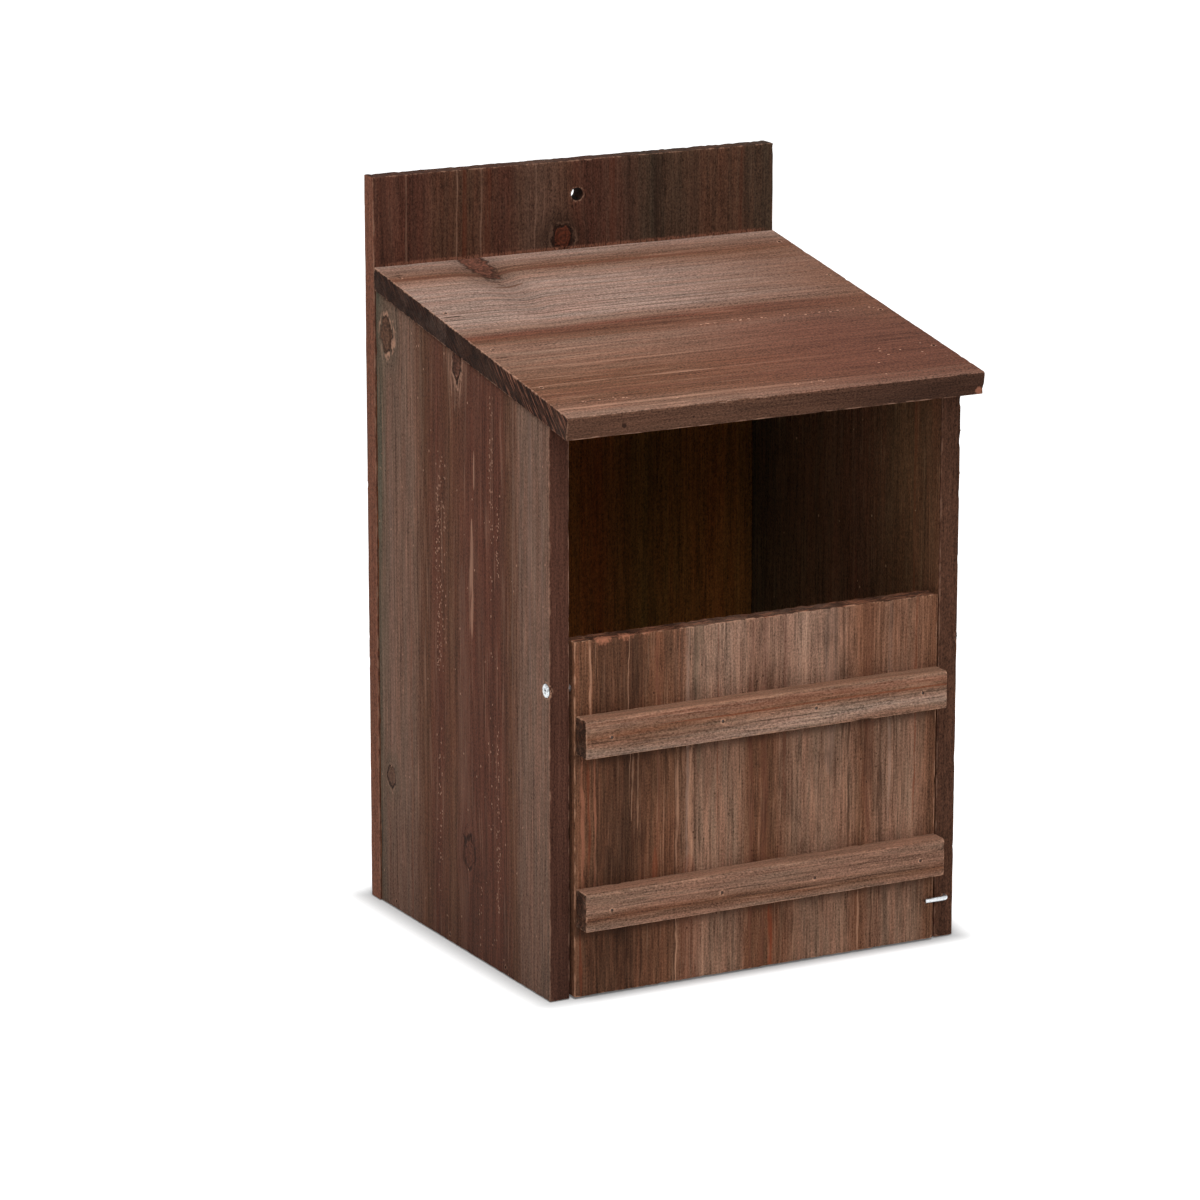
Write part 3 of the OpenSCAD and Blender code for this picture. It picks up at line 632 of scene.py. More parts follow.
# What differs on each board. As in PLAIN, places and widths are in millimetres.
RECIPES = {
    "backboard": {
        "grain": (RIGHT, UP), "seed": 3.0, "heart": (-30, -90, 0), "ring_width": 5, "ring_depth": 0.25,
        "bands": [
            (-110, "russet"), (-84, "russet"), (-66, "umber"), (-40, "russet"), (-32, "umber"), (-8, "umber"),
            (10, "russet"), (40, "olive"), (80, "umber"), (110, "olive"),
        ],
        "streaks": [
            (-92, 1.2, 290, 380, "straw", 0.25), (-65, 1.0, 250, 400, "straw", 0.4), (-61, 3, 250, 400, "ember", 0.4),
            (-52, 1.2, 230, 420, "straw", 0.35), (-48, 4, 230, 420, "ember", 0.3),
            (-22.6, 0.9, 270, 380, "straw", 0.45), (-18, 0.7, 300, 352, "straw", 0.35),
            (20, 5, 240, 420, "ember", 0.25), (45, 9, 200, 460, "char", 0.3), (92, 3, 240, 420, "ember", 0.25),
            (-110, 1.6, 321, 331, "straw", 0.9), (-110, 1.2, 334, 342, "straw", 0.8),
        ],
        "knots": [
            {"at": (-8.1, 322.4), "radius": 6.2, "stretch": 0.95, "core": "ember", "collar": 0.2, "outline": 0.9,
             "halo": 0.6, "depth": 0.75},
        ],
        "washes": [(-20, 18, 250, 300, "fawn", 0.4)], "front": 95,
        "joints": [(315.8, 4.6, -109, 110, "clay", 0.6), (316.8, 2.2, -109, 110, "clay", 0.75)],
        # inside: painted warm light on the back wall's inner face below the roof
        "inside": (96.2, 95.6, 290, 230, (2.8, 2.1, 0.85)), "dust": 0.0, "tone": 0.55, "dark_lines": 0.3,
        "pale_lines": 0.08, "narrow": ("clay", 0.9), "narrow_depth": (0, 1, 1.15, 1.15), "rubbed": 0.6,
    },
    "left_side": {
        "grain": (BACK, UP), "seed": 11.0, "heart": (-3, 46, 0), "ring_width": 2.2,
        "bands": [
            (-85, "fawn"), (-58, "fawn"), (-45, "umber"), (-36, "russet"), (0, "russet"), (14, "umber"), (30, "russet"),
            (46, "umber"), (60, "fawn"), (84, "fawn"), (95, "moss"),
        ],
        "comb": 8,
        "streaks": [
            (58.5, 0.9, 230, 300, "straw", 0.35), (58.7, 1.6, -60, 215, "ember", 0.4),
            (88, 0.9, 212, 256, "straw", 0.5), (-9.3, 1.7, 228, 247, "straw", 0.65),
            (-6.8, 4.4, 156, 214, "straw", 0.55), (-5, 2.4, 150, 190, "straw", 0.25), (3, 15, -10, 190, "fawn", 0.3),
            (-11, 5, 60, 260, "char", 0.2), (-41, 3, -40, 300, "char", 0.2), (-48.5, 1, 60, 300, "ash", 0.3),
            (-56, 1.2, 40, 290, "ash", 0.35), (-66, 5, 140, 290, "ash", 0.3), (-78, 2, 100, 290, "ash", 0.3),
            (71, 1.2, 60, 280, "char", 0.25), (80, 8, 60, 260, "ash", 0.15), (12.6, 1.2, 268, 282, "straw", 0.9),
            (9.5, 1.0, 262, 279, "straw", 0.7), (5.5, 1.3, 264, 277, "straw", 0.9), (14.6, 0.8, 276, 289, "straw", 0.8),
        ],
        "knots": [
            {"at": (83.2, 285.5), "radius": 6.8, "stretch": 1.25, "core": "umber", "collar": 0.95, "outline": 0.6,
             "depth": 0.8, "about": "moss", "halo": 0.5},
            {"at": (7.7, 286.5), "radius": 4.6, "stretch": 2.1, "core": "russet", "collar": 0.6, "outline": 0.95,
             "depth": 0.7, "about": "fawn", "halo": 0.4},
            {"at": (82, 66.8), "radius": 4.5, "stretch": 1.2, "core": "ember", "collar": 0.2, "outline": 0.95,
             "depth": 0.3, "about": "moss", "halo": 0.5},
            {"at": (-2.3, 50.5), "radius": 5.8, "stretch": 1.4, "core": "russet", "collar": 0.0, "outline": 0.9,
             "about": "russet", "halo": 0.6},
        ],
        "specks": [
            (26, 14, 130, 240, 0.25), (29, 5, 130, 225, 0.5), (-27, 5, 205, 280, 0.6), (-33, 4, 190, 225, 0.7),
            (-26, 3, 60, 200, 0.2), (-32, 4, 20, 120, 0.6), (-14, 4, -20, 40, 0.4), (28, 8, 20, 110, 0.2),
        ],
        "dust": 0.008, "tone": 0.97, "dark_lines": 0.22, "pale_lines": 0.2, "mottle": 0.5, "coarseness": 1.4,
        "damp": 0.35, "fibres": 1.5, "narrow": ("russet", 0.95), "narrow_depth": (0, 1, 0.52, 0.52),
    },
    "right_side": {
        "grain": (BACK, UP), "seed": 17.0, "heart": (-20, 110, 0), "ring_width": 4.5, "ring_depth": 0.2,
        "bands": [(-85, "russet"), (-50, "umber"), (-10, "russet"), (40, "umber"), (95, "olive")],
        "streaks": [(-62, 3, 100, 340, "ember", 0.4)],
        "knots": [{"at": (36, 112), "radius": 5.5, "stretch": 1.1, "core": "umber", "collar": 0.2, "outline": 0.8}],
        # inside: painted light on the right side's inner face
        "inside": (-100, -99.4, 400, 390, (1.6, 1.8, 1.5)), "tone": 0.76, "narrow": ("umber", 0.85),
        "narrow_depth": (0, 1, 0.75, 0.75),
    },
    "floor_board": {
        "grain": (BACK, RIGHT), "seed": 23.0, "heart": (20, -80, 0), "ring_width": 5, "ring_depth": 0.25,
        "bands": [(-77, "umber"), (0, "russet"), (95, "olive")], "tone": 0.75,
    },
    "roof": {
        "grain": (UP_SLOPE, RIGHT), "seed": 29.0, "heart": (290, -30, 0), "ring_width": 2.6, "ring_depth": 0.24,
        "waver": 6, "comb": 6, "coarseness": 1.5,
        "bands": [
            (-55, "fawn"), (-46, "fawn"), (-36, "umber"), (-10, "umber"), (34, "fawn"), (42, "umber"), (50, "russet"),
            (56, "fawn"), (66, "ash"), (108, "ash"), (124, "fawn"), (130, "umber"), (150, "ash"),
        ],
        "streaks": [
            (77.4, 1.5, -108, -98, "char", 1.0), (135.3, 1.3, -107, -101, "char", 1.0),
            (23, 1.2, -108, -101, "char", 1.0), (112.5, 2.6, -66, -49, "umber", 0.8),
            (129, 3, -200, 150, "russet", 0.6), (60.5, 2.6, -60, 160, "char", 0.3), (44, 9, -130, 190, "russet", 0.3),
            (46, 3, -100, 160, "char", 0.35), (5, 1.2, -150, 150, "char", 0.4), (7.5, 1.2, -150, 160, "straw", 0.3),
            (-15, 1.4, -140, 140, "straw", 0.35), (-13, 1.2, -140, 150, "char", 0.3), (20, 0.9, -60, 160, "straw", 0.3),
            (-43, 3.4, -130, 150, "straw", 0.3), (-28, 4, -160, 160, "russet", 0.4), (118, 1, -120, 100, "straw", 0.3),
            (103, 0.9, -90, 60, "char", 0.5), (95, 1.0, -150, 120, "char", 0.6), (91, 0.9, -60, 120, "char", 0.5),
            (87, 1.0, -150, 60, "char", 0.6), (80, 1.0, -150, 120, "char", 0.65), (76.5, 0.9, -80, 150, "char", 0.6),
            (73, 1.1, -150, 150, "char", 0.7), (68, 1, -120, 150, "char", 0.6), (64, 0.9, -40, 150, "char", 0.6),
        ],
        "specks": [
            (38.5, 3.5, 4, 48, 0.35), (38.5, 4.5, 52, 108, 0.35), (-36.5, 3.5, -95, -70, 0.5), (-43, 5, -60, 90, 0.1),
            (-20, 20, 60, 108, 0.08),
        ],
        "tears": [(59.5, 3.4, -14, 110, 0.9), (62, 3, 60, 112, 0.6), (45, 5, -60, 100, 0.1)],
        "knots": [
            {"at": (150, -60), "radius": 32, "stretch": 0.2, "core": "russet", "collar": 0.0, "outline": 0.75,
             "bend": 0.25, "halo": 0.3, "depth": 0.95},
        ],
        "washes": [
            (-5, 75, -60, 70, "russet", 0.9), (0, 70, 0, 110, "char", 0.25), (95, 60, -10, 110, "umber", 0.75),
            (60, 60, 70, 112, "umber", 0.5),
        ],
        "bare": [(-53.7, 285.5, 107.5, 2.2, "clay"), (-54, 288, -80.8, 1.5, "char"), (-54, 288.5, -45, 0.8, "char")],
        "dust": 0.0, "dark_lines": 0.2, "pale_lines": 0.2, "mottle": 0.35, "strands": 0.7, "fuzz": 3.0,
        "end_depth": 1.0, "end_marks": (1.5, 9, 0.9, 1.5), "end_reach": (30, 0, 0.15, 1.0), "end_least": 0.86,
        # Painted shade on the front edge, which looks forward and down; the rub is partly a painted highlight on its
        # arris
        "narrow": ("umber", 0.85), "narrow_depth": (-10, 80, 0.57, 0.24), "rubbed": 0.5,
    },
    "front_panel": {
        "grain": (RIGHT, UP), "seed": 37.0, "heart": (25, 60, 0), "ring_width": 3.0, "ring_depth": 0.18,
        "bands": [
            (-97, "umber"), (-46, "umber"), (-32, "fawn"), (-12, "fawn"), (-4, "umber"), (10, "umber"), (24, "fawn"),
            (44, "fawn"), (56, "umber"), (70, "fawn"), (84, "fawn"), (97, "umber"),
        ],
        "comb": 5, "cast": (1.03, 1.0, 0.93),
        "streaks": [
            (-88.4, 1.4, 122, 178, "straw", 0.4), (-84, 9, 60, 220, "char", 0.35), (-68.7, 10, -40, 240, "char", 0.38),
            (-68.9, 0.8, 90, 200, "straw", 0.5), (-53.8, 1.8, 60, 260, "russet", 0.6),
            (-44, 2.6, -20, 240, "char", 0.5), (-41, 1.6, 60, 240, "char", 0.6), (-37.7, 2.8, 40, 230, "ash", 0.5),
            (-33.9, 1.8, 60, 230, "char", 0.45), (-21.8, 0.8, 60, 250, "ember", 0.5), (-4, 3, -40, 260, "russet", 0.6),
            (3, 4, -40, 260, "russet", 0.5), (14, 3, 70, 240, "russet", 0.6), (38, 10, 90, 220, "ash", 0.35),
            (45.5, 2.2, 100, 220, "char", 0.5), (49, 1.8, 20, 240, "char", 0.6), (60, 9, 60, 250, "russet", 0.4),
            (66.6, 3, 20, 240, "char", 0.55), (71.5, 2.6, 60, 220, "ash", 0.5), (73.9, 1.3, 60, 240, "char", 0.5),
            (85.8, 1.6, 60, 250, "ember", 0.5), (-92.5, 2.4, 50, 120, "clay", 0.6), (-89.5, 1.8, 58, 126, "ember", 0.5),
            (-86.3, 1.4, 40, 124, "clay", 0.6), (-75, 17, 26, 122, "char", 0.32), (-67.2, 1.1, 82, 126, "straw", 0.5),
            (-64.5, 1.3, 78, 120, "straw", 0.45), (-61.5, 3.4, 36, 124, "char", 0.4),
            (-49.5, 2.8, 36, 122, "char", 0.5), (-43.5, 2.2, 56, 122, "straw", 0.35),
            (-36, 3.4, 52, 116, "straw", 0.35), (-80, 30, -60, 72, "char", 0.35), (-94.5, 2.2, -4, 36, "ember", 0.6),
            (-63, 1.8, -16, 36, "char", 0.6), (-37, 15, -40, 62, "ember", 0.25), (-43.3, 1.1, -4, 36, "straw", 0.6),
            (7.3, 2.8, -16, 42, "ember", 0.8), (-55.4, 3, 50, 68, "ember", 0.5), (-32, 6, 100, 230, "moss", 0.4),
            (54.8, 1.3, -4, 38, "straw", 0.45), (62, 1.6, -16, 40, "char", 0.5),
        ],
        "tears": [(60, 60, 40, 120, 0.012), (-10, 90, 20, 160, 0.008)], "front": -86.6,
        # Painted shadow under the upper and lower battens
        "joints": [(117.4, 13, -110, 110, "char", 0.75), (34.6, 13, -110, 110, "char", 0.75)],
        "bare": [(-82, -87, 174, 6, "clay"), (-70, -87, 176, 7, "clay"), (-60, -87, 176, 6, "clay")],
        "washes": [
            (-80, 45, 120, 10, "char", 0.3), (-72, 17, 20, 70, "char", 0.34), (-77, 7, 118, 140, "char", 0.25),
            (-64, 5, 118, 140, "char", 0.3), (5, 60, 110, 160, "ash", 0.35), (75, 50, 115, 150, "umber", 0.6),
        ],
        "dust": 0.0, "tone": 1.21, "dark_lines": 0.45, "pale_lines": 0.2, "mottle": 0.5, "fibres": 2.0, "fuzz": 2.3,
        "bump": 0.8, "jag": 2.2, "blotches": 0.35, "end_depth": 0.8, "end_marks": (9, 1.1, 0.75, 0), "rubbed": 0.4,
    },
    "upper_batten": {
        **BATTEN,
        "cast": (1.02, 1.0, 0.94), "seed": 41.0, "heart": (100, -45, 0),
        "bands": [(117, "fawn"), (121, "ash"), (126, "fawn"), (130, "umber"), (134, "fawn"), (137, "fawn")],
        "streaks": [
            (124.5, 1.2, -110, 60, "char", 0.5), (130, 1.2, -60, 140, "ember", 0.5), (127.5, 1, 0, 120, "char", 0.5),
            (133.5, 5, -140, 140, "ember", 0.25),
        ],
    },
    "lower_batten": {
        **BATTEN,
        "cast": (1.02, 1.0, 0.96), "seed": 43.0, "heart": (60, -45, 0),
        "bands": [(34, "ash"), (39, "fawn"), (44, "umber"), (48, "fawn"), (54, "fawn")],
        "streaks": [
            (41, 1.2, -110, 120, "char", 0.5), (45.5, 1, -100, 40, "char", 0.45), (48, 1.1, -20, 120, "char", 0.4),
        ],
    },
}


# Modelling

MERGE = 0.001 * MM
SHARP = 1.2  # Least angle between the faces of a sawn edge, in radians
MOSTLY = 0.72  # Least cosine between a way and a face that looks that way
ABOVE = 3 * MM  # How far a cutter stands out of the wood
BEYOND = 0.3 * MM  # How far a hole goes on past what it holds
SNUG = 0.03 * MM  # Room round a shank that is fast in the wood
EDGE_REACH = 1.4 * MM  # How far from an edge its wear goes
TEAR_REACH = 3.5 * MM  # How far from a sawn end its tears go
SPLINTER = 0.2 * MM  # Thickness of a splinter at its root
WALL = 0.2 * MM  # How near the wall of a hole its faces lie
FAR = 50  # Millimetres to a hole's rim, where none is nearer


def sawn_block(size, step):
    """A unit block whose broad faces are divided into quads of about one step. Size is across, along, thick."""
    bm = bmesh.new()
    columns, rows = (max(4, round(side / step)) for side in size[:2])
    bmesh.ops.create_grid(bm, x_segments=columns, y_segments=rows, size=0.5)
    raised = bmesh.ops.extrude_face_region(bm, geom=bm.faces[:])["geom"]
    bmesh.ops.translate(bm, vec=UP, verts=[v for v in raised if isinstance(v, bmesh.types.BMVert)])
    for level in (0.25, 0.5, 0.75):
        bmesh.ops.bisect_plane(bm, geom=bm.verts[:] + bm.edges[:] + bm.faces[:], plane_co=UP * level, plane_no=UP)
    width = max(v.co.x for v in bm.verts) * 2
    for v in bm.verts:
        v.co.x = v.co.x / width + 0.5
        v.co.y = v.co.y / width + 0.5
    return bm


def box_place(low, high, axes):
    """Where a unit block's points go in an upright board, and its size. axes names the ways across, along, through."""
    order = ["XYZ".index(axis) for axis in axes]

    def place(unit):
        point = Vector()
        for part, axis in zip(unit, order):
            point[axis] = low[axis] + part * (high[axis] - low[axis])
        return point

    return place, [high[axis] - low[axis] for axis in order]


def ease_edges(bm, edges, radius, segments):
    bmesh.ops.bevel(bm, geom=edges, offset=radius, offset_type="OFFSET", segments=segments, profile=0.5,
                    affect="EDGES", material=-1, clamp_overlap=True)


def from_lines(point, lines):
    """Distance from a point to the nearest of a board's straight edges."""
    best = math.inf
    for a, b in lines:
        nearest, part = intersect_point_line(point, a, b)
        if part < 0:
            nearest = a
        elif part > 1:
            nearest = b
        best = min(best, (point - nearest).length)
    return best


def straight_edges(place):
    """The twelve edges of a placed board, each as its two ends."""
    corners = product((0, 1), repeat=3)
    return [(place(one), place(two)) for one, two in combinations(corners, 2)
            if sum(a != b for a, b in zip(one, two)) == 1]


def roughen(bm, lines, sizes, seed, grain, torn):
    """Wears a board inwards: its faces by a hair, its edges more, and its sawn ends in small tears.

    torn lists a way, the plane of a sawn end across it and the depth of its tears. Noise is scaled per metre.
    """
    bm.normal_update()
    shift = Vector((seed, seed * 1.7, seed * 0.6))
    moved = []
    for v in bm.verts:
        along = grain * v.co.dot(grain)
        flat = v.co - along
        spot = flat + along * 0.35 + shift
        near = math.exp(-((from_lines(v.co, lines) / EDGE_REACH) ** 2))
        depth = sizes.face_relief * (0.5 + 0.5 * noise.noise(spot * 120))
        depth += near * sizes.wear * (0.7 + noise.noise(spot * 330))
        chip = max(0.0, noise.noise(spot * 420 + Vector((7, 1, 3))) - 0.38)
        depth += near * sizes.chip * min(1.0, chip * 5)
        move = v.normal * max(depth, 0.0)
        for way, plane, amount in torn:
            reach = abs(v.co.dot(way) - plane)
            if reach < TEAR_REACH:
                tear = 0.3 + 0.4 * noise.noise(flat * 150 + shift) + 0.8 * noise.noise(flat * 430 + shift)
                move = move + way * max(tear, 0.0) * amount * (1 - reach / TEAR_REACH)
        moved.append(move)
    for v, move in zip(bm.verts, moved):
        v.co -= move


def face_outwards(bm):
    bmesh.ops.recalc_face_normals(bm, faces=bm.faces[:])
    if bm.calc_volume(signed=True) < 0:
        bmesh.ops.reverse_faces(bm, faces=bm.faces[:])


def object_from(name, bm):
    """Turns a bmesh into an object in the scene, with its faces outwards."""
    face_outwards(bm)
    mesh = bpy.data.meshes.new(name)
    bm.to_mesh(mesh)
    bm.free()
    made = bpy.data.objects.new(name, mesh)
    bpy.context.scene.collection.objects.link(made)
    return made


def cut_out(piece, cutter_bm):
    """Takes a shape out of a piece, and clears the cutter away."""
    cutter = object_from("cutter", cutter_bm)
    change = piece.modifiers.new("cut", "BOOLEAN")
    change.operation = "DIFFERENCE"
    change.solver = "EXACT"
    change.object = cutter
    graph = bpy.context.evaluated_depsgraph_get()
    cut = bpy.data.meshes.new_from_object(piece.evaluated_get(graph))
    piece.modifiers.clear()
    whole, piece.data = piece.data, cut
    for mesh in (whole, cutter.data):
        bpy.data.meshes.remove(mesh)


def turned(bm, profile, where, steps):
    """Spins a profile of (radius, height) points about Z, puts it in place and leaves it closed."""
    before = set(bm.verts)
    outline = [bm.verts.new((radius, 0, height)) for radius, height in profile]
    edges = [bm.edges.new(pair) for pair in zip(outline, outline[1:])]
    bmesh.ops.spin(bm, geom=outline + edges, cent=(0, 0, 0), axis=UP, angle=math.tau, steps=steps, use_merge=True)
    bmesh.ops.remove_doubles(bm, verts=[v for v in bm.verts if v not in before], dist=MERGE)
    bmesh.ops.transform(bm, matrix=where, verts=[v for v in bm.verts if v not in before])


def facing(point, outwards):
    """A frame at a point whose Z goes outwards."""
    return Matrix.Translation(point) @ outwards.to_track_quat("Z", "Y").to_matrix().to_4x4()


def nails_of(node, outwards):
    """Each nail of a CAD group: the middle of its head's upper face, and its length."""
    bm = bmesh.new()
    bm.from_mesh(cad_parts[node].data)
    bmesh.ops.remove_doubles(bm, verts=bm.verts[:], dist=MERGE)
    met = set()
    nails = []
    for first in bm.verts:
        if first in met:
            continue
        met.add(first)
        island = [first]
        for v in island:
            near = [other for other in (edge.other_vert(v) for edge in v.link_edges) if other not in met]
            met.update(near)
            island += near
        heights = [v.co.dot(outwards) for v in island]
        head = [v.co for v, h in zip(island, heights) if h > max(heights) - 10 * MERGE]
        low, high = (Vector(pick(co[i] for co in head) for i in range(3)) for pick in (min, max))
        nails.append(((low + high) / 2, max(heights) - min(heights)))
    bm.free()
    return nails


# The way out of the wood for each group of nails
NAIL_WAYS = {
    "roof_nails_left": ROOF_UP,
    "roof_nails_right": ROOF_UP,
    "floor_nails_left": LEFT,
    "floor_nails_right": RIGHT,
    "back_nails_left": BACK,
    "back_nails_right": BACK,
    "back_nails_floor": BACK,
    "upper_batten_nails": FRONT,
    "lower_batten_nails": FRONT,
}

# Each of the next functions adds a hole to a cutter, and returns the hole's mouth: its middle, way out and radius.


def drill(cutter, mouth, way, radius, deep, steps):
    turned(cutter, [(0, ABOVE), (radius, ABOVE), (radius, -deep), (0, -deep)], facing(mouth, way), steps)
    return mouth, way, radius


def nail_hole(cutter, top, way, deep):
    """The hole that a nail made, with a lip that closed over the edge of its sunk head."""
    fixings = bpy.context.scene.nest_box_fixings
    head = fixings.nail_head / 2 + 2 * SNUG
    shank = fixings.nail_shank / 2 + SNUG
    lip = head * 0.66
    lip_foot, play = 0.15 * MM, 0.02 * MM
    floor = -fixings.nail_head_height - play
    point = -deep - BEYOND
    turned(cutter, [(0, ABOVE), (lip, ABOVE), (lip, lip_foot), (head, play), (head, floor), (shank, floor),
                    (shank, point), (0, point)], facing(top, way), 14)
    return top + way * fixings.nail_sink, way, lip


def screw_hole(cutter, side, seat):
    """The hole for a pivot screw, from its head inwards. With a seat it is the side board's, with room to turn."""
    fixings = bpy.context.scene.nest_box_fixings
    low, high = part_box(side + "_pivot_screw")
    middle = (low + high) / 2
    middle.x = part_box(side + "_side")[0 if side == "left" else 1].x
    shank = fixings.screw_shank / 2 + (fixings.running_gap if seat else SNUG)
    deep = high.x - low.x + BEYOND
    if not seat:
        return drill(cutter, middle, SIDES[side], shank, deep, 24)
    wide = (high.z - low.z) / 2 + fixings.face_gap
    turned(cutter, [(0, ABOVE), (wide, ABOVE), (wide, 0), (shank + fixings.face_gap, -fixings.screw_cone),
                    (shank, -fixings.screw_cone), (shank, -deep), (0, -deep)], facing(middle, SIDES[side]), 24)
    return middle, SIDES[side], wide


def hook_hole(cutter):
    """The hole in the right side's front edge in which the latch hook turns."""
    fixings = bpy.context.scene.nest_box_fixings
    low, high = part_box("latch_hook")
    radius = fixings.wire / 2
    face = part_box("right_side")[0].y
    mouth = Vector((high.x - radius, face, (low.z + high.z) / 2))
    return drill(cutter, mouth, FRONT, radius + fixings.running_gap, high.y - face + BEYOND, 20)


def add_splinters(piece, splinters):
    """Adds torn fibres that stand off the wood. They come after the cutting, which would lose some of them."""
    bm = bmesh.new()
    bm.from_mesh(piece.data)
    for root, way, long in splinters:
        bmesh.ops.create_cone(bm, cap_ends=True, cap_tris=False, segments=4, radius1=SPLINTER,
                              radius2=SPLINTER * 0.15, depth=long,
                              matrix=facing(root + way * (long / 2 - 2 * SPLINTER), way))
    bm.to_mesh(piece.data)
    bm.free()


def mark_board(piece, lines, across, grain, mouths):
    """Marks a board's mesh for its stain and its painted shade.

    Its points carry their distance in millimetres to the nearest edge and the nearest rim of a hole. Its faces say
    whether they are a sawn end, a narrow side or the wall of a hole.
    """
    bm = bmesh.new()
    bm.from_mesh(piece.data)
    bm.normal_update()
    edge, rim = (bm.verts.layers.float.new(key) for key in CORNER_MARKS)
    end, narrow, hollow = (bm.faces.layers.float.new(key) for key in FACE_MARKS)

    for v in bm.verts:
        v[edge] = from_lines(v.co, lines) / MM
        v[rim] = FAR
        for middle, way, radius in mouths:
            depth = (middle - v.co).dot(way)
            away = (v.co + way * depth - middle).length - radius + max(depth - 1 * MM, 0)
            v[rim] = min(v[rim], away / MM)
    for f in bm.faces:
        f[end] = float(abs(f.normal.dot(grain)) > MOSTLY)
        f[narrow] = float(abs(f.normal.dot(across)) > MOSTLY)
        for middle, way, radius in mouths:
            off = f.calc_center_median() - middle
            off -= way * off.dot(way)
            if abs(off.length - radius) < WALL and f.normal.dot(off) < -0.8 * off.length:
                f[hollow] = 1.0
    bm.to_mesh(piece.data)
    bm.free()


def shade_by_angle(piece, degrees):
    """Smooths a piece's faces, but not over its sharp edges."""
    bm = bmesh.new()
    bm.from_mesh(piece.data)
    for f in bm.faces:
        f.smooth = True
    for e in bm.edges:
        e.smooth = e.is_manifold and e.calc_face_angle(0) < math.radians(degrees)
    bm.to_mesh(piece.data)
    bm.free()


def finish_piece(piece, body, nodes, material):
    """Hands a piece its material, its body and the CAD nodes that it stands for."""
    piece.data.materials.clear()
    piece.data.materials.append(material)
    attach(piece, body)
    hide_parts(*nodes)


def make_board(name, axes, body, nails, shape=None, eased=None, torn=(), holes=(), splinters=(),
               covered=math.inf):
    """Saws, eases, wears, drills and stains one board, in the place of the CAD node of the same name.

    nails names the groups of nails in it. shape is a function that places a unit block's points, and the block's
    size. eased holds the ends of a planed edge and its radius, and holes the functions that add a hole to the
    cutter. The edges above the height covered lie under another board, so nothing rubs them.
    """
    sizes = bpy.context.scene.nest_box_boards
    recipe = {**PLAIN, **RECIPES[name]}
    across, grain = recipe["grain"]
    place, size = shape or box_place(*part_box(name), axes)
    bm = sawn_block(size, sizes.step)
    for v in bm.verts:
        v.co = place(v.co)
    face_outwards(bm)
    lines = straight_edges(place)
    if eased:
        *ends, radius = eased
        ease_edges(bm, [e for e in bm.edges if e.calc_face_angle(0) > SHARP
                        and max(from_lines(v.co, [ends]) for v in e.verts) < 10 * MERGE], radius, 4)
    ease_edges(bm, [e for e in bm.edges if e.calc_face_angle(0) > SHARP], sizes.arris, 2)
    roughen(bm, lines, sizes, recipe["seed"], grain, torn)
    piece = object_from(name + "_wood", bm)
    cutter = bmesh.new()
    mouths = [nail_hole(cutter, top, NAIL_WAYS[group], deep) for group in nails
              for top, deep in nails_of(group, NAIL_WAYS[group])]
    mouths += [hole(cutter) for hole in holes]
    cut_out(piece, cutter)
    add_splinters(piece, splinters)
    mark_board(piece, [line for line in lines if min(line[0].z, line[1].z) < covered], across, grain, mouths)
    shade_by_angle(piece, 42)
    finish_piece(piece, body, [name], timber_material("Stained " + name, recipe))


# Operators


class NestBoxOperator(bpy.types.Operator):
    bl_options = {"REGISTER", "UNDO"}


class NESTBOX_OT_groups(NestBoxOperator):
    """Builds the shader groups that the wood and the metal share"""

    bl_idname = "nestbox.groups"
    bl_label = "Shader groups"

    def execute(self, context):
        for make_group in (make_timber_group, make_knot_group, make_streak_group, make_row_group, make_speck_group,
                           make_edge_group, make_tarnish_group):
            make_group()
        return {"FINISHED"}


class NESTBOX_OT_backboard(NestBoxOperator):
    """Makes the backboard with its hanging hole"""

    bl_idname = "nestbox.backboard"
    bl_label = "Backboard"

    def execute(self, context):
        sizes = context.scene.nest_box_boards
        low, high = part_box("backboard")
        middle = Vector((0, low.y, high.z - sizes.hanging_drop))
        thickness = high.y - low.y
        hanging_hole = partial(drill, mouth=middle, way=FRONT, radius=sizes.hanging_hole / 2,
                               deep=thickness + ABOVE, steps=40)
        make_board("backboard", "XZY", "box", ["back_nails_left", "back_nails_right", "back_nails_floor"],
                   torn=[(UP, high.z, 0.5 * MM)], holes=[hanging_hole])
        return {"FINISHED"}


def side_place(low, high, roof_low):
    """Where a unit block's points go in a side board, whose top follows the roof."""

    def place(unit):
        top = roof_low + unit[0] * (high.z - roof_low)
        return Vector((low.x + unit[2] * (high.x - low.x), low.y + unit[0] * (high.y - low.y),
                       low.z + unit[1] * (top - low.z)))

    return place


def foot_splinters(rng, low, high):
    """Splinters along the left side's foot, each as its root, its way and its length."""
    for y in (-62, -45, -42, -20, 10, 30, 55):
        root = Vector((low.x + 0.4 * MM, y * MM, 1.2 * MM))
        way = Vector((-1, rng.choice((-4, 4)), rng.uniform(0.0, 0.4))).normalized()
        yield root, way, rng.uniform(2.5, 4.0) * MM


def edge_splinters(rng, low, high):
    """Splinters up the right side's front edge, none of which stands out more than 1.2 mm."""
    for _ in range(34):
        root = Vector((high.x - 0.2 * MM, low.y + rng.uniform(0.4, 10) * MM, rng.uniform(4, 262) * MM))
        way = Vector((1, rng.uniform(-1.5, 0.2), rng.choice((-4, 4)) * rng.uniform(0.5, 1))).normalized()
        yield root, way, min(2.4, 1.2 / way.x) * MM


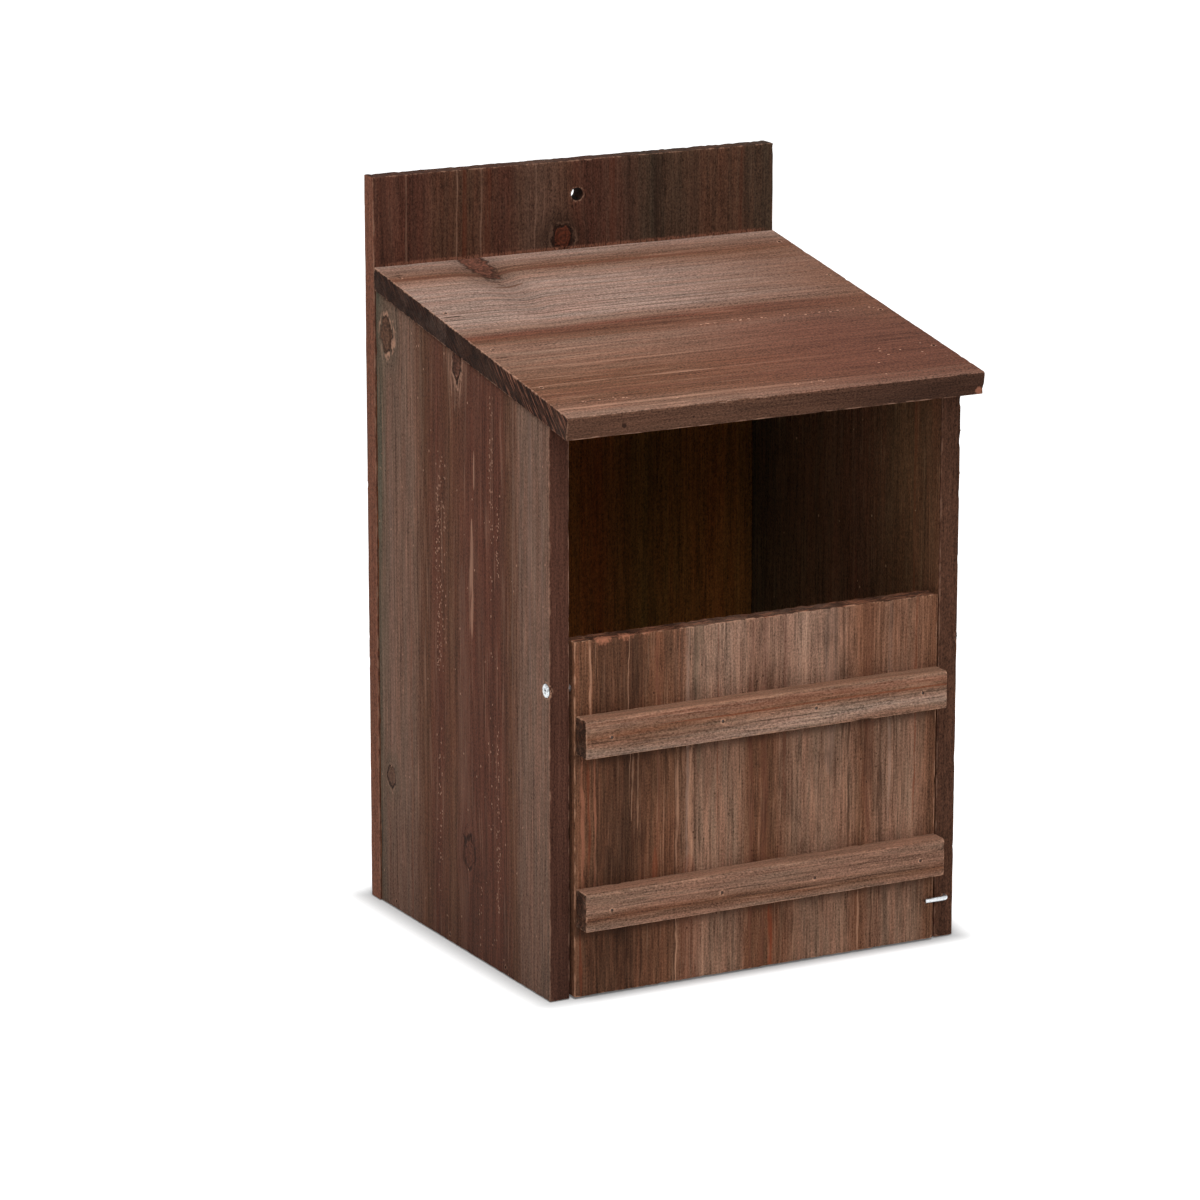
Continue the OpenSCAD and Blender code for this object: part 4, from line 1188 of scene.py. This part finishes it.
class NESTBOX_OT_sides(NestBoxOperator):
    """Makes the two side boards, cut to the roof's slope"""

    bl_idname = "nestbox.sides"
    bl_label = "Side boards"

    def execute(self, context):
        rng = random.Random(5)
        for side, splinters, more_holes in (("left", foot_splinters, []), ("right", edge_splinters, [hook_hole])):
            low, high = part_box(side + "_side")
            roof_low = high.z - (high.y - low.y) * math.tan(ROOF_PITCH)
            make_board(side + "_side", "YZX", "box",
                       ["roof_nails_" + side, "floor_nails_" + side, "back_nails_" + side],
                       shape=(side_place(low, high, roof_low), (high.y - low.y, high.z - low.z, high.x - low.x)),
                       torn=[(DOWN, 0.0, 0.4 * MM)], holes=[partial(screw_hole, side=side, seat=True), *more_holes],
                       splinters=splinters(rng, low, high), covered=roof_low - 1 * MM)
        return {"FINISHED"}


class NESTBOX_OT_floor_board(NestBoxOperator):
    """Makes the nest box's floor"""

    bl_idname = "nestbox.floor_board"
    bl_label = "Floor board"

    def execute(self, context):
        make_board("floor_board", "YXZ", "box",
                   ["floor_nails_left", "floor_nails_right", "back_nails_floor"])
        return {"FINISHED"}


class NESTBOX_OT_roof(NestBoxOperator):
    """Makes the sloping roof, cut plumb against the backboard"""

    bl_idname = "nestbox.roof"
    bl_label = "Roof"

    def execute(self, context):
        sizes = context.scene.nest_box_boards
        low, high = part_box("roof")
        long = (high.y - low.y) / math.cos(ROOF_PITCH)
        thick = sizes.roof_thickness

        def place(unit):
            deep = (1 - unit[2]) * thick
            down = long * unit[0] + (1 - unit[0]) * deep * math.tan(ROOF_PITCH)
            point = Vector((0, high.y, high.z)) - UP_SLOPE * down - ROOF_UP * deep
            point.x = low.x + unit[1] * (high.x - low.x)
            return point

        make_board("roof", "YXZ", "box", ["roof_nails_left", "roof_nails_right"],
                   shape=(place, (long, high.x - low.x, thick)),
                   eased=(place((1, 0, 1)), place((1, 1, 1)), sizes.roof_ease))
        return {"FINISHED"}


class NESTBOX_OT_front_panel(NestBoxOperator):
    """Makes the swinging front panel, with its torn upper end"""

    bl_idname = "nestbox.front_panel"
    bl_label = "Front panel"

    def execute(self, context):
        low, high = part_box("front_panel")
        torn = [(UP, high.z, context.scene.nest_box_boards.torn), (DOWN, -low.z, 0.3 * MM)]
        make_board("front_panel", "XZY", "panel", ["upper_batten_nails", "lower_batten_nails"],
                   torn=torn, holes=[partial(screw_hole, side=side, seat=False) for side in SIDES])
        return {"FINISHED"}


class NESTBOX_OT_battens(NestBoxOperator):
    """Makes the two battens across the front panel"""

    bl_idname = "nestbox.battens"
    bl_label = "Battens"

    def execute(self, context):
        for name in ("upper_batten", "lower_batten"):
            low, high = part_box(name)
            eased = (Vector((low.x, low.y, high.z)), Vector((high.x, low.y, high.z)),
                     context.scene.nest_box_boards.batten_ease)
            make_board(name, "ZXY", "panel", [name + "_nails"], eased=eased)
        return {"FINISHED"}


ALONG_X = (0, math.pi / 2, 0)
DOME_TURNS = (0, 0.35, 0.7, 1.0, 1.3)  # From the middle of a screw's head to its rim, in radians
RECESS_TURN = 0.3


class NESTBOX_OT_screws(NestBoxOperator):
    """Makes the two pivot screws with domed heads and cross recesses"""

    bl_idname = "nestbox.screws"
    bl_label = "Pivot screws"

    def execute(self, context):
        fixings = context.scene.nest_box_fixings
        metals = context.scene.nest_box_metals
        zinc = metal_material("Zinc screw", metals.zinc, metals.steel, 0.9, ALONG_X)
        for side, out in SIDES.items():
            low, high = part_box(side + "_pivot_screw")
            face = (low + high) / 2
            face.x = (low.x if side == "left" else high.x) - out.x * fixings.screw_rise
            head = (high.z - low.z) / 2
            shank = fixings.screw_shank / 2
            deep = high.x - low.x - fixings.screw_rise
            dome = [(head * math.sin(t), fixings.screw_rise * math.cos(t)) for t in DOME_TURNS]
            bm = bmesh.new()
            turned(bm, dome + [(head, 0.0), (head * 0.97, -0.2 * MM), (shank, -fixings.screw_cone),
                               (shank, fixings.screw_point - deep), (shank * 0.3, -deep), (0, -deep)],
                   facing(face, out), 48)
            piece = object_from(side + "_screw", bm)
            for turn in (RECESS_TURN, RECESS_TURN + math.pi / 2):
                cut_out(piece, recess_arm(fixings, facing(face, out) @ Matrix.Rotation(turn, 4, "Z")))
            shade_by_angle(piece, 30)
            finish_piece(piece, "panel", [side + "_pivot_screw"], zinc)
        return {"FINISHED"}


def recess_arm(fixings, where):
    """One arm of a screw's cross recess, narrower at its foot."""
    arm = bmesh.new()
    bmesh.ops.create_cube(arm, size=1)
    bmesh.ops.scale(arm, vec=(0.35, 0.6, 1), verts=[v for v in arm.verts if v.co.z < 0])
    bmesh.ops.scale(arm, vec=(fixings.recess, fixings.recess_arm, fixings.recess_depth + 2 * MM), verts=arm.verts)
    bmesh.ops.translate(arm, vec=UP * (1 * MM - fixings.recess_depth / 2), verts=arm.verts)
    bmesh.ops.transform(arm, matrix=where, verts=arm.verts)
    return arm


class NESTBOX_OT_hook(NestBoxOperator):
    """Makes the square bend latch hook from one length of zinc wire"""

    bl_idname = "nestbox.hook"
    bl_label = "Latch hook"

    def execute(self, context):
        fixings = context.scene.nest_box_fixings
        metals = context.scene.nest_box_metals
        low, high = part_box("latch_hook")
        radius, bend = fixings.wire / 2, fixings.bend
        shank_x, arm_y, height = high.x - radius, low.y + radius, (low.z + high.z) / 2
        chamfer, point = 0.25 * MM, 3 * MM
        bm = bmesh.new()
        rings = []

        def ring(x, y, way, wide=radius):
            made = bmesh.ops.create_circle(bm, cap_ends=False, segments=20, radius=wide,
                                           matrix=facing(Vector((x, y, height)), -way))
            rings.append(made["verts"])

        ring(low.x, arm_y, RIGHT, radius * 0.8)
        ring(low.x + chamfer, arm_y, RIGHT)
        ring(shank_x - bend, arm_y, RIGHT)
        for turn in (math.pi / 2 * i / 8 for i in range(1, 9)):
            ring(shank_x - bend + bend * math.sin(turn), arm_y + bend - bend * math.cos(turn),
                 Vector((math.cos(turn), math.sin(turn), 0)))
        ring(shank_x, high.y - point, BACK)
        ring(shank_x, high.y, BACK, radius * 0.25)
        for one, two in zip(rings, rings[1:]):
            ends = (set(one), set(two))
            bmesh.ops.bridge_loops(bm, edges=[e for e in bm.edges if any(set(e.verts) <= end for end in ends)])
        for ends in (rings[0], rings[-1]):
            bm.faces.new(ends)
        piece = object_from("hook_wire", bm)
        shade_by_angle(piece, 50)
        zinc = metal_material("Zinc wire", metals.zinc, metals.dulled_zinc, 0.35, ALONG_X)
        finish_piece(piece, "hook", ["latch_hook"], zinc)
        return {"FINISHED"}


class NESTBOX_OT_nails(NestBoxOperator):
    """Gives the sunk nails a dull, lightly rusted steel"""

    bl_idname = "nestbox.nails"
    bl_label = "Nails"

    def execute(self, context):
        metals = context.scene.nest_box_metals
        material = metal_material("Nail steel", metals.steel, metals.rust, 0.8)
        for group in NAIL_WAYS:
            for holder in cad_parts[group].material_slots:
                holder.material = material
        return {"FINISHED"}


class NESTBOX_OT_stage(NestBoxOperator):
    """Makes the floor, the soft studio light and the camera"""

    bl_idname = "nestbox.stage"
    bl_label = "Stage"

    def execute(self, context):
        stage = context.scene.nest_box_stage
        make_floor(stage)
        make_daylight(context.scene, stage)
        make_lamp("top_lamp", (-0.3, -0.6, 2.0), (0, 0, 0.2), 0.9, stage.top_lamp)
        make_lamp("front_lamp", (-0.6, -1.8, 1.4), (0, 0, 0.15), 1.2, stage.front_lamp)
        camera = bpy.data.cameras.new("camera")
        camera.lens = stage.lens
        camera.sensor_width = 36
        camera.clip_end = 50
        flat = math.cos(stage.elevation)
        back = Vector((-math.sin(stage.azimuth) * flat, -math.cos(stage.azimuth) * flat, math.sin(stage.elevation)))
        context.scene.camera = hang("camera", camera, Vector(stage.target) + back * stage.distance, back)
        context.scene.view_settings.view_transform = "Standard"
        return {"FINISHED"}


def hang(name, data, place, back):
    """Puts a camera or a lamp at a place, with its back to the way given."""
    holder = bpy.data.objects.new(name, data)
    bpy.context.scene.collection.objects.link(holder)
    holder.location = place
    holder.rotation_euler = back.to_track_quat("Z", "Y").to_euler()
    return holder


def seen(tree, *rays):
    """1 for what the camera sees, straight or by the rays named."""
    path = shader(tree, "LightPath").outputs
    mask = path["Is Camera Ray"]
    for ray in rays:
        mask = maths("MAXIMUM", mask, path["Is %s Ray" % ray])
    return mask


FLOOR_DROP = 0.2 * MM  # Keeps the floor clear of the boards' feet


def make_floor(stage):
    """A pale floor that shows white to the camera and keeps the soft shadow; near the box's foot it glows less, which
    paints a shadow round it.
    """
    bm = bmesh.new()
    bmesh.ops.create_grid(bm, x_segments=1, y_segments=1, size=stage.floor_size)
    bmesh.ops.translate(bm, vec=DOWN * FLOOR_DROP, verts=bm.verts)
    floor = object_from("floor", bm)
    material = bpy.data.materials.new("Pale floor")
    material.use_nodes = True
    tree = material.node_tree
    tree.nodes.clear()
    low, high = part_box("left_side")[0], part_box("backboard")[1]
    half = Vector((-low.x, (high.y - low.y) / 2, 0))
    place = vectors("SUBTRACT", shader(tree, "TexCoord").outputs["Object"], (0, (high.y + low.y) / 2, 0))
    past = vectors("MAXIMUM", vectors("SUBTRACT", vectors("ABSOLUTE", place), half), (0, 0, 0))
    # Painted shadow: the floor glows less within the shadow's reach of the box's foot, whatever the light
    glow = ease(length_of(past), -4 * MM, stage.shadow, 0.05, 0.97)
    plain = shader(tree, "BsdfDiffuse", (0.8, 0.8, 0.8, 1.0)).outputs[0]
    shown = shader(tree, "AddShader", shader(tree, "BsdfDiffuse", (0.55, 0.55, 0.55, 1.0)).outputs[0],
                   shader(tree, "Emission", (1, 1, 1, 1), glow).outputs[0]).outputs[0]
    mixed = shader(tree, "MixShader", seen(tree, "Glossy"), plain, shown).outputs[0]
    shader(tree, "OutputMaterial", mixed)
    floor.data.materials.append(material)


def make_daylight(scene, stage):
    """Even light from all round, and a white backdrop for the camera."""
    scene.world = bpy.data.worlds.new("Studio")
    scene.world.use_nodes = True
    tree = scene.world.node_tree
    tree.nodes.clear()
    strength = times_plus(seen(tree, "Glossy", "Transmission"), 1.0 - stage.daylight, stage.daylight)
    shader(tree, "OutputWorld", shader(tree, "Background", (1, 1, 1, 1), strength).outputs[0])


def make_lamp(name, place, aim, size, power):
    """A square lamp that looks at the aim."""
    lamp = bpy.data.lights.new(name, "AREA")
    lamp.shape = "SQUARE"
    lamp.size = size
    lamp.energy = power
    hang(name, lamp, place, Vector(place) - Vector(aim))


STEPS = (
    NESTBOX_OT_groups,
    NESTBOX_OT_backboard,
    NESTBOX_OT_sides,
    NESTBOX_OT_floor_board,
    NESTBOX_OT_roof,
    NESTBOX_OT_front_panel,
    NESTBOX_OT_battens,
    NESTBOX_OT_screws,
    NESTBOX_OT_hook,
    NESTBOX_OT_nails,
    NESTBOX_OT_stage,
)
HOLDERS = {
    "nest_box_boards": BoardSizes,
    "nest_box_fixings": FixingSizes,
    "nest_box_wood": WoodColours,
    "nest_box_metals": MetalColours,
    "nest_box_stage": StageSettings,
}


class NESTBOX_PT_sidebar(bpy.types.Panel):
    """Lists the nest box's sizes, colours and pieces"""

    bl_idname = "NESTBOX_PT_sidebar"
    bl_label = "Nest box"
    bl_space_type = "VIEW_3D"
    bl_region_type = "UI"
    bl_category = "Nest box"

    def draw(self, context):
        for holder in HOLDERS:
            column = self.layout.column(align=True)
            group = getattr(context.scene, holder)
            for key in group.bl_rna.properties.keys():
                if key not in {"rna_type", "name"}:
                    column.prop(group, key)
        for step in STEPS:
            self.layout.operator(step.bl_idname)


def register():
    for cls in (*HOLDERS.values(), *STEPS, NESTBOX_PT_sidebar):
        bpy.utils.register_class(cls)
    for holder, cls in HOLDERS.items():
        setattr(bpy.types.Scene, holder, PointerProperty(type=cls))


def unregister():
    for holder in HOLDERS:
        delattr(bpy.types.Scene, holder)
    for cls in (NESTBOX_PT_sidebar, *reversed(STEPS), *HOLDERS.values()):
        bpy.utils.unregister_class(cls)


def main():
    register()
    for step in STEPS:
        family, name = step.bl_idname.split(".")
        getattr(getattr(bpy.ops, family), name)()


if __name__ == "__main__":
    main()
